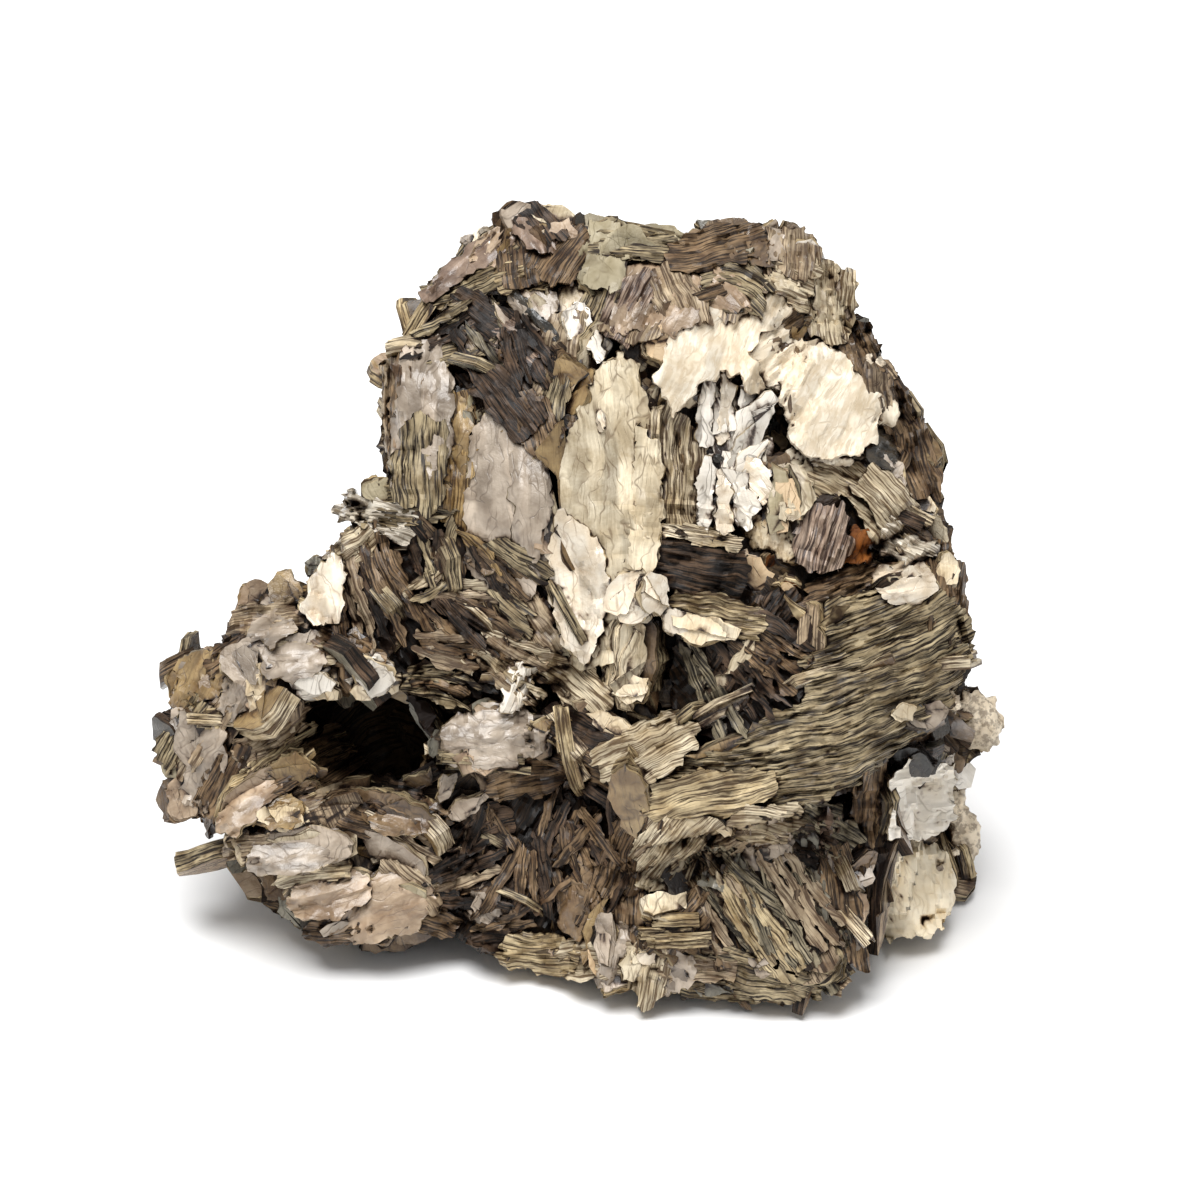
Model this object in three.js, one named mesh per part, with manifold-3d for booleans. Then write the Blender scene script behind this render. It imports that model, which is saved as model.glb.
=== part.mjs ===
// A hand specimen of muscovite mica: stacked books of sheets, rosettes of blades and
// patches of white albite crust, all grown together into one solid.
// Millimetres, +Z up, the viewer's side towards -Y.

import * as THREE from "three";
import { mergeVertices } from "three/addons/utils/BufferGeometryUtils.js";
import Module from "manifold-3d";

const wasm = await Module();
wasm.setup();

// Driving dimensions
const LEAN = 26;              // degrees that the front of the cluster leans back
const CORNERS = 6;            // corners of a crystal's uneven hexagon
const RAGGED = 0.16;          // how far a corner strays, as a part of its radius
const LUMP_DETAIL = 1;        // subdivisions of a lump of the grown-together mass
const LUMP_ROUGH = 0.1;       // how far a lump's skin strays, as a part of its radius
const CAVE_ROUGH = 0.06;      // the same for the wall of the cave
const RING_STRAY = 6;         // degrees and millimetres that a book strays from its ring
const RING_SIZE_STRAY = 4;    // how far its width and height stray
const RING_TALL = 0.8;        // its height, as a part of its width
const RING_THICK = 8;         // its usual thickness
const RING_THICK_STRAY = 3;   // how far that strays
const ANY_TURN = 180;         // degrees either way: every direction
const RING_LEAN = 50;         // degrees that its cleavage face turns aside
const FLOOR_DEPTH = 60;       // thickness of the block that cuts the resting faces flat
const FLOOR_SPAN = 400;       // width of that block
const SEAM = 0.45;            // edges shorter than this, where crystals cross, are closed up
const SEED = 20261;

const degrees = THREE.MathUtils.degToRad;

// The crystals are placed on the leaning front face: across, up the lean, and out
// towards the viewer. Each row is a place, a size (wide, tall, thick) and the turns
// that lay it down (tip about the across axis, turn about the up axis, roll in the
// face). A crystal with no turns shows its broad cleavage face to the viewer, and one
// tipped by 90 shows the ruled edges of its sheets.
const TOP_BOOKS = [
  // place              size            turns
  [[-16, 129, -22], [30, 13, 9], [-30, 0, 37]],
  [[-6, 132, -22], [17, 15, 15], [-15, 0, -12]],
  [[6, 129, -20], [15, 14, 14], [-15, -10, 0]],
  [[12, 122, -14], [19, 16, 12], [-35, 0, 0]],
  [[25, 124, -14], [12, 13, 10], [-20, 0, 0]],
  [[27, 131, -26], [22, 11, 16], [-20, 0, 3]],
  [[37, 130, -26], [13, 9, 16], [-20, 0, -15]],
  [[36, 126, -17], [12, 8, 10], [-25, 0, 0]],
  [[43, 120, -18], [7, 14, 16], [-5, 15, -4]],
  [[46, 111, -24], [9, 18, 16], [-5, 25, 24]],
  [[-9, 124, -16], [15, 12, 12], [-25, 0, 30]],
];
const UPPER_LEFT_BOOKS = [
  [[-28, 106, -14], [9, 17, 16], [-5, -15, 4]],
  [[-30, 96, -22], [8, 32, 20], [0, -25, 2]],
  [[-23, 95, -12], [11, 22, 14], [0, -20, -6]],
  [[-14, 110, -17], [26, 24, 14], [-5, 0, 0]],
  [[-19, 115, -12], [14, 5, 12], [60, 0, 20]],
  [[-27, 117, -18], [8, 8, 12], [-20, 0, 30]],
  [[-7, 116, -10], [5, 17, 8], [0, 35, 38]],
  [[-13, 105, -10], [16, 4, 12], [70, 0, -35]],
  [[-1, 112, -8], [6, 18, 9], [0, 25, -12]],
  [[-28, 86, -10], [20, 16, 5], [78, 0, -3]],
];
const CENTRE_BOOKS = [
  [[4, 86, -6], [24, 54, 12], [-3, 6, 0]],
  [[-12, 91, -8], [17, 30, 12], [-3, -8, -2]],
  [[14, 113, -8], [11, 9, 9], [-15, 0, 0]],
  [[17, 94, -6], [10, 30, 12], [0, 12, 3]],
  [[26, 96, -5], [14, 28, 11], [-4, -6, -4]],
  [[8, 59, 2], [10, 15, 10], [0, 20, 0]],
  [[9, 70, 5], [9, 9, 4], [-10, 0, 10]],
  [[-5, 66, -8], [18, 16, 12], [-20, 0, 0]],
];
const CRUST_PATCHES = [
  [[22, 112, -5], [22, 22, 12], [-8, 0, 5]],
  [[32, 120, -8], [16, 9, 11], [-10, 0, 28]],
  [[36, 111, -11], [14, 14, 10], [-10, 0, 0]],
  [[44, 105, -8], [20, 18, 13], [-12, 8, -14]],
  [[52, 102, -22], [10, 16, 18], [-5, 20, 28]],
  [[57, 91, -20], [11, 22, 20], [-5, 20, 18]],
  [[32, 80, -2], [12, 12, 12], [-10, 0, 0]],
];
const RIGHT_BOOKS = [
  [[43, 87, -4], [28, 20, 12], [-20, 10, -22]],
  [[40, 80, 0], [10, 12, 9], [-10, 0, -12]],
  [[59, 79, -16], [12, 13, 20], [-5, 15, 25]],
  [[16, 75, 4], [22, 16, 11], [90, 0, -9]],
  [[21, 66, 3], [19, 14, 8], [90, 0, -8]],
  [[26, 57, 2], [5, 12, 8], [0, 20, -20]],
  [[33, 63, -2], [13, 22, 12], [0, 60, -20]],
  [[38, 60, 2], [7, 14, 8], [0, -15, 4]],
  [[56, 67, -8], [20, 12, 16], [-5, 15, 0]],
  [[49, 64, -2], [38, 26, 11], [90, 0, 28]],
  [[62, 60, -12], [9, 20, 18], [0, 20, 0]],
  [[40, 50, 3], [54, 32, 14], [90, 0, 20]],
  [[30, 40, 4], [48, 34, 15], [90, 0, 13]],
  [[12, 36, 5], [14, 24, 14], [90, 0, 4]],
  [[52, 47, -8], [20, 22, 14], [90, 0, 24]],
];
const LOWER_RIGHT_BOOKS = [
  [[47, 29, -4], [13, 23, 14], [0, 15, -2]],
  [[33, 15, -2], [30, 28, 18], [-5, 0, 0]],
  [[30, 14, 6], [7, 22, 7], [0, 20, 35]],
  [[14, 24, 2], [4, 12, 8], [0, 0, -46]],
  [[32, 28, 4], [9, 9, 8], [0, 0, 10]],
  [[40, 12, -1], [13, 19, 14], [0, 20, -12]],
  [[15, 13, 3], [12, 14, 7], [85, 0, 0]],
  [[16, 6, 2], [7, 8, 6], [0, 0, 12]],
  [[6, 10, 0], [9, 14, 10], [0, -10, 0]],
  [[31, 4, -1], [24, 9, 12], [0, 0, -4]],
  [[12, 22, -5], [16, 18, 12], [0, 0, 0]],
];
const CENTRE_ROSETTE = [
  [[-12, 20, -9], [20, 18, 4], [80, 0, 0]],
  [[-12, 14, -8], [16, 18, 5], [75, 0, -35]],
  [[0, 17, -2], [6, 19, 4], [0, 15, 8]],
  [[-3, 11, -5], [7, 13, 5], [0, -20, 25]],
  [[-10, 9, -10], [10, 8, 9], [0, 0, 0]],
  [[-17, 18, -12], [9, 14, 8], [0, -10, -20]],
  [[-6, 30, -14], [30, 22, 18], [-10, 0, 0]],
  [[-16, 45, -4], [20, 14, 10], [-15, 0, 0]],
  [[-12, 54, -1], [6, 10, 7], [-5, 10, -20]],
  [[3, 47, 0], [17, 13, 10], [10, 0, -8]],
  [[-18, 37, -8], [14, 9, 12], [0, 0, 0]],
];
const BLADE_FAN = [
  [[-37, 71, -10], [14, 24, 4], [0, 78, 14]],
  [[-33, 70, -8], [15, 27, 3], [0, 80, 20]],
  [[-29, 68, -8], [16, 28, 3], [0, 80, 28]],
  [[-22, 75, -10], [14, 18, 4], [0, 82, 8]],
  [[-20, 65, -8], [26, 14, 4], [80, 0, -28]],
  [[-14, 76, -9], [12, 14, 8], [-10, -20, -20]],
  [[-26, 58, -9], [24, 16, 5], [75, 0, -22]],
  [[-22, 67, -20], [34, 34, 14], [0, 0, 0]],
  [[-27, 49, -8], [6, 16, 16], [0, -20, 20]],
];
const LEFT_RIDGE = [
  [[-44, 70, -13], [10, 13, 12], [-5, -10, 8]],
  [[-37, 68, -16], [8, 12, 14], [0, -20, 0]],
  [[-53, 66, -20], [17, 12, 18], [-10, -10, 24]],
  [[-51, 60, -10], [15, 8, 16], [-15, 0, 2]],
  [[-46, 55, -4], [12, 10, 8], [70, 0, -4]],
  [[-37, 56, -3], [11, 10, 8], [-10, 0, 0]],
  [[-62, 57, -22], [16, 14, 16], [-5, -15, 38]],
  [[-68, 54, -22], [10, 13, 14], [-5, -20, 30]],
  [[-55, 52, -9], [8, 11, 12], [0, -25, 10]],
  [[-60, 47, -12], [20, 14, 5], [85, 0, -6]],
  [[-67, 41, -16], [13, 17, 14], [0, -15, 18]],
  [[-68, 34, -22], [8, 10, 12], [0, -20, 10]],
  [[-45, 60, -26], [28, 12, 30], [-10, 0, 15]],
];
const LOWER_LEFT_ROSETTE = [
  [[-55, 36, -10], [18, 15, 10], [10, -20, 42]],
  [[-51, 31, -8], [18, 9, 12], [20, 0, 8]],
  [[-50, 26, -8], [18, 9, 12], [15, 0, 4]],
  [[-43, 33, -12], [16, 8, 20], [0, 0, 20]],
  [[-43, 19, -11], [17, 9, 14], [25, 0, 5]],
  [[-34, 16, -10], [16, 13, 12], [10, 10, 20]],
  [[-32, 31, -12], [20, 8, 16], [10, 0, -18]],
  [[-30, 26, -12], [22, 6, 16], [20, 0, -32]],
  [[-52, 18, -16], [12, 12, 14], [0, -10, -28]],
  [[-34, 11, -17], [14, 7, 12], [0, 0, 6]],
  [[-30, 36, -16], [14, 10, 16], [0, 0, 25]],
  [[-60, 25, -16], [6, 9, 10], [0, -15, 15]],
];
const RIGHT_OUTGROWTH = [
  [[69, 47, -29], [11, 17, 14], [0, 15, 12]],
  [[65, 41, -28], [11, 7, 12], [0, 10, -6]],
  [[67, 34, -31], [5, 14, 10], [0, 10, 0]],
  [[68, 26, -34], [7, 12, 12], [0, 15, -10]],
  [[59, 33, -25], [12, 14, 10], [0, 10, 0]],
  [[57, 18, -22], [15, 15, 10], [-8, 12, 10]],
  [[59, 46, -18], [10, 12, 14], [0, 20, 30]],
  [[63, 20, -30], [8, 12, 12], [0, 15, 0]],
];

// The grown-together mass behind the front crystals, in the upright frame: the middle
// of each lump and its half sizes.
const MASS_LUMPS = [
  [[6, 62, 54], [42, 33, 48]],
  [[10, 74, 86], [30, 22, 28]],
  [[32, 46, 38], [26, 34, 36]],
  [[-34, 52, 26], [28, 32, 24]],
  [[-30, 58, 44], [26, 24, 24]],
  [[8, 40, 18], [26, 30, 18]],
  [[4, 66, 22], [46, 32, 26]],
  [[50, 52, 20], [16, 22, 18]],
];

// The hollow in the left lobe, on the leaning face: middle and half sizes.
const CAVE = [
  [[-39.5, 45, -6], [12.5, 11, 18]],
  [[-39, 44, -24], [12, 11, 16]],
];

// Books of plates round the sides, the back and the top, in rings round the mass:
// height of the ring, its half widths, how far back its middle is, and its books.
const BACK_RINGS = [
  { height: 9, across: 52, deep: 40, middle: [4, 56], books: 10, size: 20 },
  { height: 29, across: 52, deep: 42, middle: [2, 56], books: 10, size: 20 },
  { height: 49, across: 42, deep: 39, middle: [7, 58], books: 9, size: 20 },
  { height: 68, across: 35, deep: 34, middle: [9, 62], books: 8, size: 18 },
  { height: 86, across: 28, deep: 27, middle: [10, 68], books: 6, size: 17 },
  { height: 100, across: 22, deep: 18, middle: [9, 74], books: 5, size: 15 },
];
const RING_FROM = -28;        // degrees round the mass where a ring starts, from +X
const RING_TO = 208;          // and where it ends, so that the front stays clear

let state = SEED;

// A repeatable random number from 0 to 1.
function random() {
  state = (state * 1664525 + 1013904223) % 4294967296;
  return state / 4294967296;
}

function spread(amount) {
  return (random() * 2 - 1) * amount;
}

// A closed geometry as a solid that can be joined and cut.
function solidOf(geometry) {
  const bare = geometry.clone();
  bare.deleteAttribute("normal");
  bare.deleteAttribute("uv");
  const merged = mergeVertices(bare);
  return new wasm.Manifold(
    new wasm.Mesh({
      numProp: 3,
      vertProperties: Float32Array.from(merged.attributes.position.array),
      triVerts: Uint32Array.from(merged.index.array),
    }),
  );
}

// The outline of a mica sheet: a hexagon whose corners have grown unevenly.
function sheetOutline(width, height) {
  const shape = new THREE.Shape();
  for (let i = 0; i < CORNERS; i += 1) {
    const angle = (i / CORNERS) * 2 * Math.PI;
    const radius = (1 + spread(RAGGED)) / 2;
    const x = width * radius * Math.cos(angle);
    const y = height * radius * Math.sin(angle);
    if (i === 0) {
      shape.moveTo(x, y);
    } else {
      shape.lineTo(x, y);
    }
  }
  shape.closePath();
  return shape;
}

// One book of sheets, laid in place by its turns.
function book(place, size, turns) {
  const [width, height, thick] = size;
  const geometry = new THREE.ExtrudeGeometry(sheetOutline(width, height), {
    depth: thick,
    bevelEnabled: false,
  });
  geometry.translate(0, 0, -thick / 2);
  const laid = new THREE.Euler(...turns.map(degrees), "ZYX");
  geometry.applyMatrix4(new THREE.Matrix4().makeRotationFromEuler(laid));
  geometry.translate(...place);
  return geometry;
}

// One rough lump, from its middle and its half sizes.
function lump(middle, half, rough) {
  const geometry = new THREE.IcosahedronGeometry(1, LUMP_DETAIL);
  geometry.deleteAttribute("normal");
  geometry.deleteAttribute("uv");
  const skin = mergeVertices(geometry);
  const points = skin.attributes.position;
  for (let i = 0; i < points.count; i += 1) {
    const grow = 1 + spread(rough);
    points.setXYZ(i, points.getX(i) * grow, points.getY(i) * grow, points.getZ(i) * grow);
  }
  skin.scale(...half);
  skin.translate(...middle);
  return skin;
}

// From the leaning front face to the upright frame.
function leanBack(geometry) {
  return geometry.clone().rotateX(degrees(90 - LEAN));
}

function frontBooks() {
  const rows = [
    ...TOP_BOOKS,
    ...UPPER_LEFT_BOOKS,
    ...CENTRE_BOOKS,
    ...CRUST_PATCHES,
    ...RIGHT_BOOKS,
    ...LOWER_RIGHT_BOOKS,
    ...CENTRE_ROSETTE,
    ...BLADE_FAN,
    ...LEFT_RIDGE,
    ...LOWER_LEFT_ROSETTE,
    ...RIGHT_OUTGROWTH,
  ];
  return rows.map(([place, size, turns]) => leanBack(book(place, size, turns)));
}

// Books that stand out of the mass round one ring.
function ringBooks(ring) {
  const books = [];
  for (let i = 0; i < ring.books; i += 1) {
    const share = (i + 0.5) / ring.books;
    const angle = degrees(RING_FROM + (RING_TO - RING_FROM) * share + spread(RING_STRAY));
    const place = [
      ring.middle[0] + Math.cos(angle) * ring.across,
      ring.middle[1] + Math.sin(angle) * ring.deep,
      ring.height + spread(RING_STRAY),
    ];
    const size = [
      ring.size + spread(RING_SIZE_STRAY),
      ring.size * RING_TALL + spread(RING_SIZE_STRAY),
      RING_THICK + spread(RING_THICK_STRAY),
    ];
    const turns = [spread(ANY_TURN), spread(RING_LEAN), spread(ANY_TURN)];
    books.push(book(place, size, turns));
  }
  return books;
}

// The one closed body whose skin is the outside: sealed pockets between the crystals
// are grown shut.
function withoutPockets(solid) {
  const bodies = solid.decompose();
  return bodies.reduce((most, body) => (body.volume() > most.volume() ? body : most));
}

function growCluster() {
  const pieces = [
    ...MASS_LUMPS.map(([middle, half]) => lump(middle, half, LUMP_ROUGH)),
    ...BACK_RINGS.flatMap(ringBooks),
    ...frontBooks(),
  ];
  const grown = pieces.map(solidOf).reduce((whole, piece) => whole.add(piece));
  const hollowed = CAVE.reduce(
    (whole, [middle, half]) =>
      whole.subtract(solidOf(leanBack(lump(middle, half, CAVE_ROUGH)))),
    grown,
  );
  const floor = new THREE.BoxGeometry(FLOOR_SPAN, FLOOR_SPAN, FLOOR_DEPTH);
  floor.translate(0, 0, -FLOOR_DEPTH / 2);
  return withoutPockets(hollowed.subtract(solidOf(floor)).simplify(SEAM));
}

function geometryOf(solid) {
  const mesh = solid.getMesh();
  const geometry = new THREE.BufferGeometry();
  const points = new THREE.BufferAttribute(Float32Array.from(mesh.vertProperties), 3);
  geometry.setAttribute("position", points);
  geometry.setIndex(new THREE.BufferAttribute(Uint32Array.from(mesh.triVerts), 1));
  return geometry;
}

// The cluster stands on its lowest faces, with its origin under the middle of its box.
function standOnOrigin(geometry) {
  geometry.computeBoundingBox();
  const box = geometry.boundingBox;
  const middle = box.getCenter(new THREE.Vector3());
  geometry.translate(-middle.x, -middle.y, -box.min.z);
  return geometry;
}

const mica = new THREE.MeshStandardMaterial({
  color: 0xa89b86,
  roughness: 0.42,
  metalness: 0.05,
  flatShading: true,
});

const cluster = new THREE.Mesh(standOnOrigin(geometryOf(growCluster())), mica);
cluster.name = "mica_cluster";

const specimen = new THREE.Group();
specimen.add(cluster);

export default specimen;
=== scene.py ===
"""A natural muscovite mica cluster: books, blades and rosettes of thin sheets grown together,
with patches of white albite crust, on a plain pale floor in soft studio light."""

import math
import random

import bmesh
import bpy
from mathutils import Euler, Matrix, Vector, noise
from mathutils.bvhtree import BVHTree


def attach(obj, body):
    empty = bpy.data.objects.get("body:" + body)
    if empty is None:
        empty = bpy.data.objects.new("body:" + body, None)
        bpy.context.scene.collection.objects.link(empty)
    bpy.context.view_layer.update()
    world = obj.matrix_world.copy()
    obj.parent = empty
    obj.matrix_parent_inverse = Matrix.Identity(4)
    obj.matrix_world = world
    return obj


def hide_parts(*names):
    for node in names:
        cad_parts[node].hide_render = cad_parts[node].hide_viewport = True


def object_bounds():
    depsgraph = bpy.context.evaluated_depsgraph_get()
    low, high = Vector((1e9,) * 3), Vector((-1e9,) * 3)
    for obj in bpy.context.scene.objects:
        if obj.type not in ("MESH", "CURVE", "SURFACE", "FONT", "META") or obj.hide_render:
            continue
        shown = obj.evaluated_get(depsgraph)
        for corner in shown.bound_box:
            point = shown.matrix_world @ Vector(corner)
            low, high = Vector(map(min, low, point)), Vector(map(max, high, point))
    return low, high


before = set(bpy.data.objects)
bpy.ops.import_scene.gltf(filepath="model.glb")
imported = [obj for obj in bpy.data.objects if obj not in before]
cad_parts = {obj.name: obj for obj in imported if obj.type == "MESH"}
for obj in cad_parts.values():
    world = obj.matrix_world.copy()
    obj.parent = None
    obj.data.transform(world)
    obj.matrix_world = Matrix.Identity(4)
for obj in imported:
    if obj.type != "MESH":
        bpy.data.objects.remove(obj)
cad_low, cad_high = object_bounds()
noise.seed_set(3)             # the same torn rims on each run

# ---------------------------------------------------------------- the working frame
# Crystals are placed in millimetres on the leaning front face of the cluster: across,
# up the lean, and out towards the viewer.
DESIGN_WIDTH = 151.3          # width of the cluster in design millimetres
MM = (cad_high.x - cad_low.x) / DESIGN_WIDTH
LEAN = math.radians(26)       # how far the front leans back, and the camera's height
FOOT_BACK = 6.4               # from the front of the box back to the foot of the lean
FOOT = Vector(((cad_low.x + cad_high.x) / 2, cad_low.y + FOOT_BACK * MM, cad_low.z))
FRONT = (
    Matrix.Translation(FOOT)
    @ Matrix.Rotation(math.pi / 2 - LEAN, 4, "X")
    @ Matrix.Scale(MM, 4)
)
CAMERA_AT = (2.98, 69.3, 575)  # across, up and out from the foot of the lean
FLOOR_GAP = 0.0001            # metres that the lowest faces keep above the floor
TINT = (0.93, 0.87, 0.775)    # the warm cast that all the mica shares


def rounded(colour):
    """A colour given in 0 to 255 as the linear values that a shader takes."""
    linear = [((c / 255 + 0.055) / 1.055) ** 2.4 for c in colour]
    return tuple(c * t for c, t in zip(linear, TINT)) + (1.0,)


# ---------------------------------------------------------------- finishes
# finishes of thin edges, as the tables name them
OLIVE = "olive_edge"
TAN = "tan_edge"
BROWN = "brown_edge"
CREAM = "cream_edge"
DARK = "dark_edge"
HOLLOW_SHADE = "hollow_edge"
SILVER = "silver_edge"
LINEN = "linen_edge"
FAWN = "fawn_edge"
PLUM = "plum_edge"
SLATE = "slate_edge"
HONEY = "honey_edge"
# light and dark tone of the surface, the tone of its lines, how strong the lines are,
# how they run (repeats per millimetre across, up and through the sheets), roughness,
# and how glossy the thin outer sheet is.
FACE = ((2.2, 0.16, 0.3), 15, 0.26)
CALM = ((1.2, 0.12, 0.3), 10, 0.14)
RULED = ((2.4, 0.07, 0.3), 8, 1.0)
EDGE = ((0.16, 0.16, 3.0), 0, 1.0)
FIBRE = ((1.2, 0.3, 1.2), 7, 0.8)
CRUMB = ((0.9, 0.9, 0.9), 0, 0.8)
FINISHES = {
    "lavender": ((194, 184, 174), (146, 134, 122), (92, 78, 64), 0.6, CALM, 0.36, 0.35),
    "linen": ((229, 222, 204), (190, 178, 154), (104, 86, 64), 0.75, FACE, 0.42, 0.2),
    "cream": ((243, 234, 214), (214, 198, 168), (132, 106, 74), 0.6, FACE, 0.4, 0.25),
    "peach": ((232, 212, 184), (206, 182, 150), (150, 118, 84), 0.35, CALM, 0.42, 0.2),
    "pearl": ((252, 248, 240), (226, 214, 196), (150, 126, 98), 0.5, CALM, 0.24, 0.6),
    "silver": ((255, 255, 255), (246, 243, 238), (90, 78, 62), 0.8, CALM, 0.3, 0.3),
    # silver made whiter and duller for a plate that looks white from the light it reflects: painted
    # reflection
    "snow": ((255, 255, 255), (254, 252, 248), (150, 140, 126), 0.5, CALM, 0.4, 0.15),
    "blush": ((192, 174, 154), (146, 124, 102), (92, 70, 52), 0.5, CALM, 0.38, 0.3),
    "plum": ((160, 140, 126), (112, 92, 80), (60, 44, 36), 0.7, FACE, 0.36, 0.35),
    "umber": ((146, 124, 96), (96, 75, 54), (46, 32, 22), 0.7, FACE, 0.34, 0.35),
    "honey": ((172, 150, 110), (122, 98, 62), (66, 46, 26), 0.7, FACE, 0.36, 0.35),
    "bark": ((178, 162, 140), (118, 99, 80), (52, 38, 28), 0.95, RULED, 0.46, 0.15),
    "ruled": ((186, 168, 156), (142, 122, 110), (56, 42, 36), 1.0, RULED, 0.42, 0.2),
    "sage": ((190, 184, 164), (150, 142, 118), (96, 84, 62), 0.45, CALM, 0.44, 0.15),
    "slate": ((160, 158, 148), (104, 104, 96), (44, 42, 36), 0.7, FACE, 0.34, 0.35),
    "pitch": ((74, 66, 54), (30, 29, 25), (10, 9, 7), 0.8, FACE, 0.28, 0.5),
    "ivory": ((255, 250, 236), (240, 230, 208), (176, 158, 128), 0.3, CALM, 0.5, 0.1),
    OLIVE: ((190, 178, 150), (121, 107, 83), (36, 27, 19), 1.0, EDGE, 0.5, 0.1),
    TAN: ((214, 200, 168), (150, 132, 100), (62, 46, 30), 0.95, EDGE, 0.5, 0.1),
    BROWN: ((150, 128, 102), (84, 64, 46), (30, 20, 14), 0.95, EDGE, 0.46, 0.15),
    CREAM: ((234, 224, 202), (178, 162, 132), (72, 54, 38), 0.95, EDGE, 0.46, 0.15),
    DARK: ((98, 80, 66), (38, 28, 22), (12, 8, 6), 1.0, EDGE, 0.5, 0.05),
    # near-black sheets behind the blade runs: painted shade
    HOLLOW_SHADE: ((52, 38, 26), (24, 16, 9), (7, 4, 2), 1.0, EDGE, 0.5, 0.1),
    SILVER: ((250, 247, 240), (222, 216, 204), (110, 96, 76), 0.9, EDGE, 0.32, 0.4),
    LINEN: ((226, 218, 198), (182, 168, 142), (92, 74, 54), 0.95, EDGE, 0.44, 0.15),
    FAWN: ((196, 182, 160), (146, 128, 106), (78, 60, 46), 0.9, EDGE, 0.44, 0.2),
    PLUM: ((184, 168, 156), (138, 118, 106), (60, 44, 38), 1.0, EDGE, 0.42, 0.2),
    SLATE: ((172, 164, 144), (90, 84, 70), (28, 23, 16), 1.0, EDGE, 0.46, 0.1),
    HONEY: ((186, 162, 118), (128, 102, 64), (58, 40, 22), 0.95, EDGE, 0.42, 0.2),
    "crust": ((255, 252, 244), (230, 220, 202), (176, 156, 126), 0.5, FIBRE, 0.6, 0.0),
    "old_crust": ((250, 240, 220), (216, 196, 158), (158, 126, 78), 0.6, FIBRE, 0.6, 0.0),
    "grit": ((242, 234, 220), (200, 188, 170), (70, 56, 46), 0.7, CRUMB, 0.5, 0.1),
    "brown_grit": ((156, 136, 112), (92, 74, 58), (44, 32, 26), 0.8, CRUMB, 0.46, 0.15),
    "rust": ((168, 106, 52), (104, 60, 26), (52, 30, 16), 0.8, FACE, 0.5, 0.1),
    "root": ((104, 86, 64), (52, 40, 29), (18, 12, 8), 0.9, EDGE, 0.5, 0.1),
}

# ---------------------------------------------------------------- crystal habits
# sheet thickness, points round the outline, raggedness, how far one sheet steps back
# from the next, torn part sheets left on the face, bend, and corners of the outline
HABITS = {
    "book": dict(sheet=0.6, points=32, ragged=0.09, step=0.03, torn=3, bend=0.04, corners=7),
    "plate": dict(sheet=0.5, points=34, ragged=0.10, step=0.03, torn=4, bend=0.09, corners=8),
    "flake": dict(sheet=0.45, points=20, ragged=0.12, step=0.05, torn=2, bend=0.14, corners=7),
    "blade": dict(sheet=0.4, points=20, ragged=0.09, step=0.04, torn=1, bend=0.18, corners=6),
    "ledge": dict(sheet=0.42, points=56, ragged=0.06, step=0.035, torn=1, bend=0.03, corners=4),
    "disc": dict(sheet=0.4, points=30, ragged=0.09, step=0.03, torn=3, bend=0.18, corners=10),
}
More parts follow.
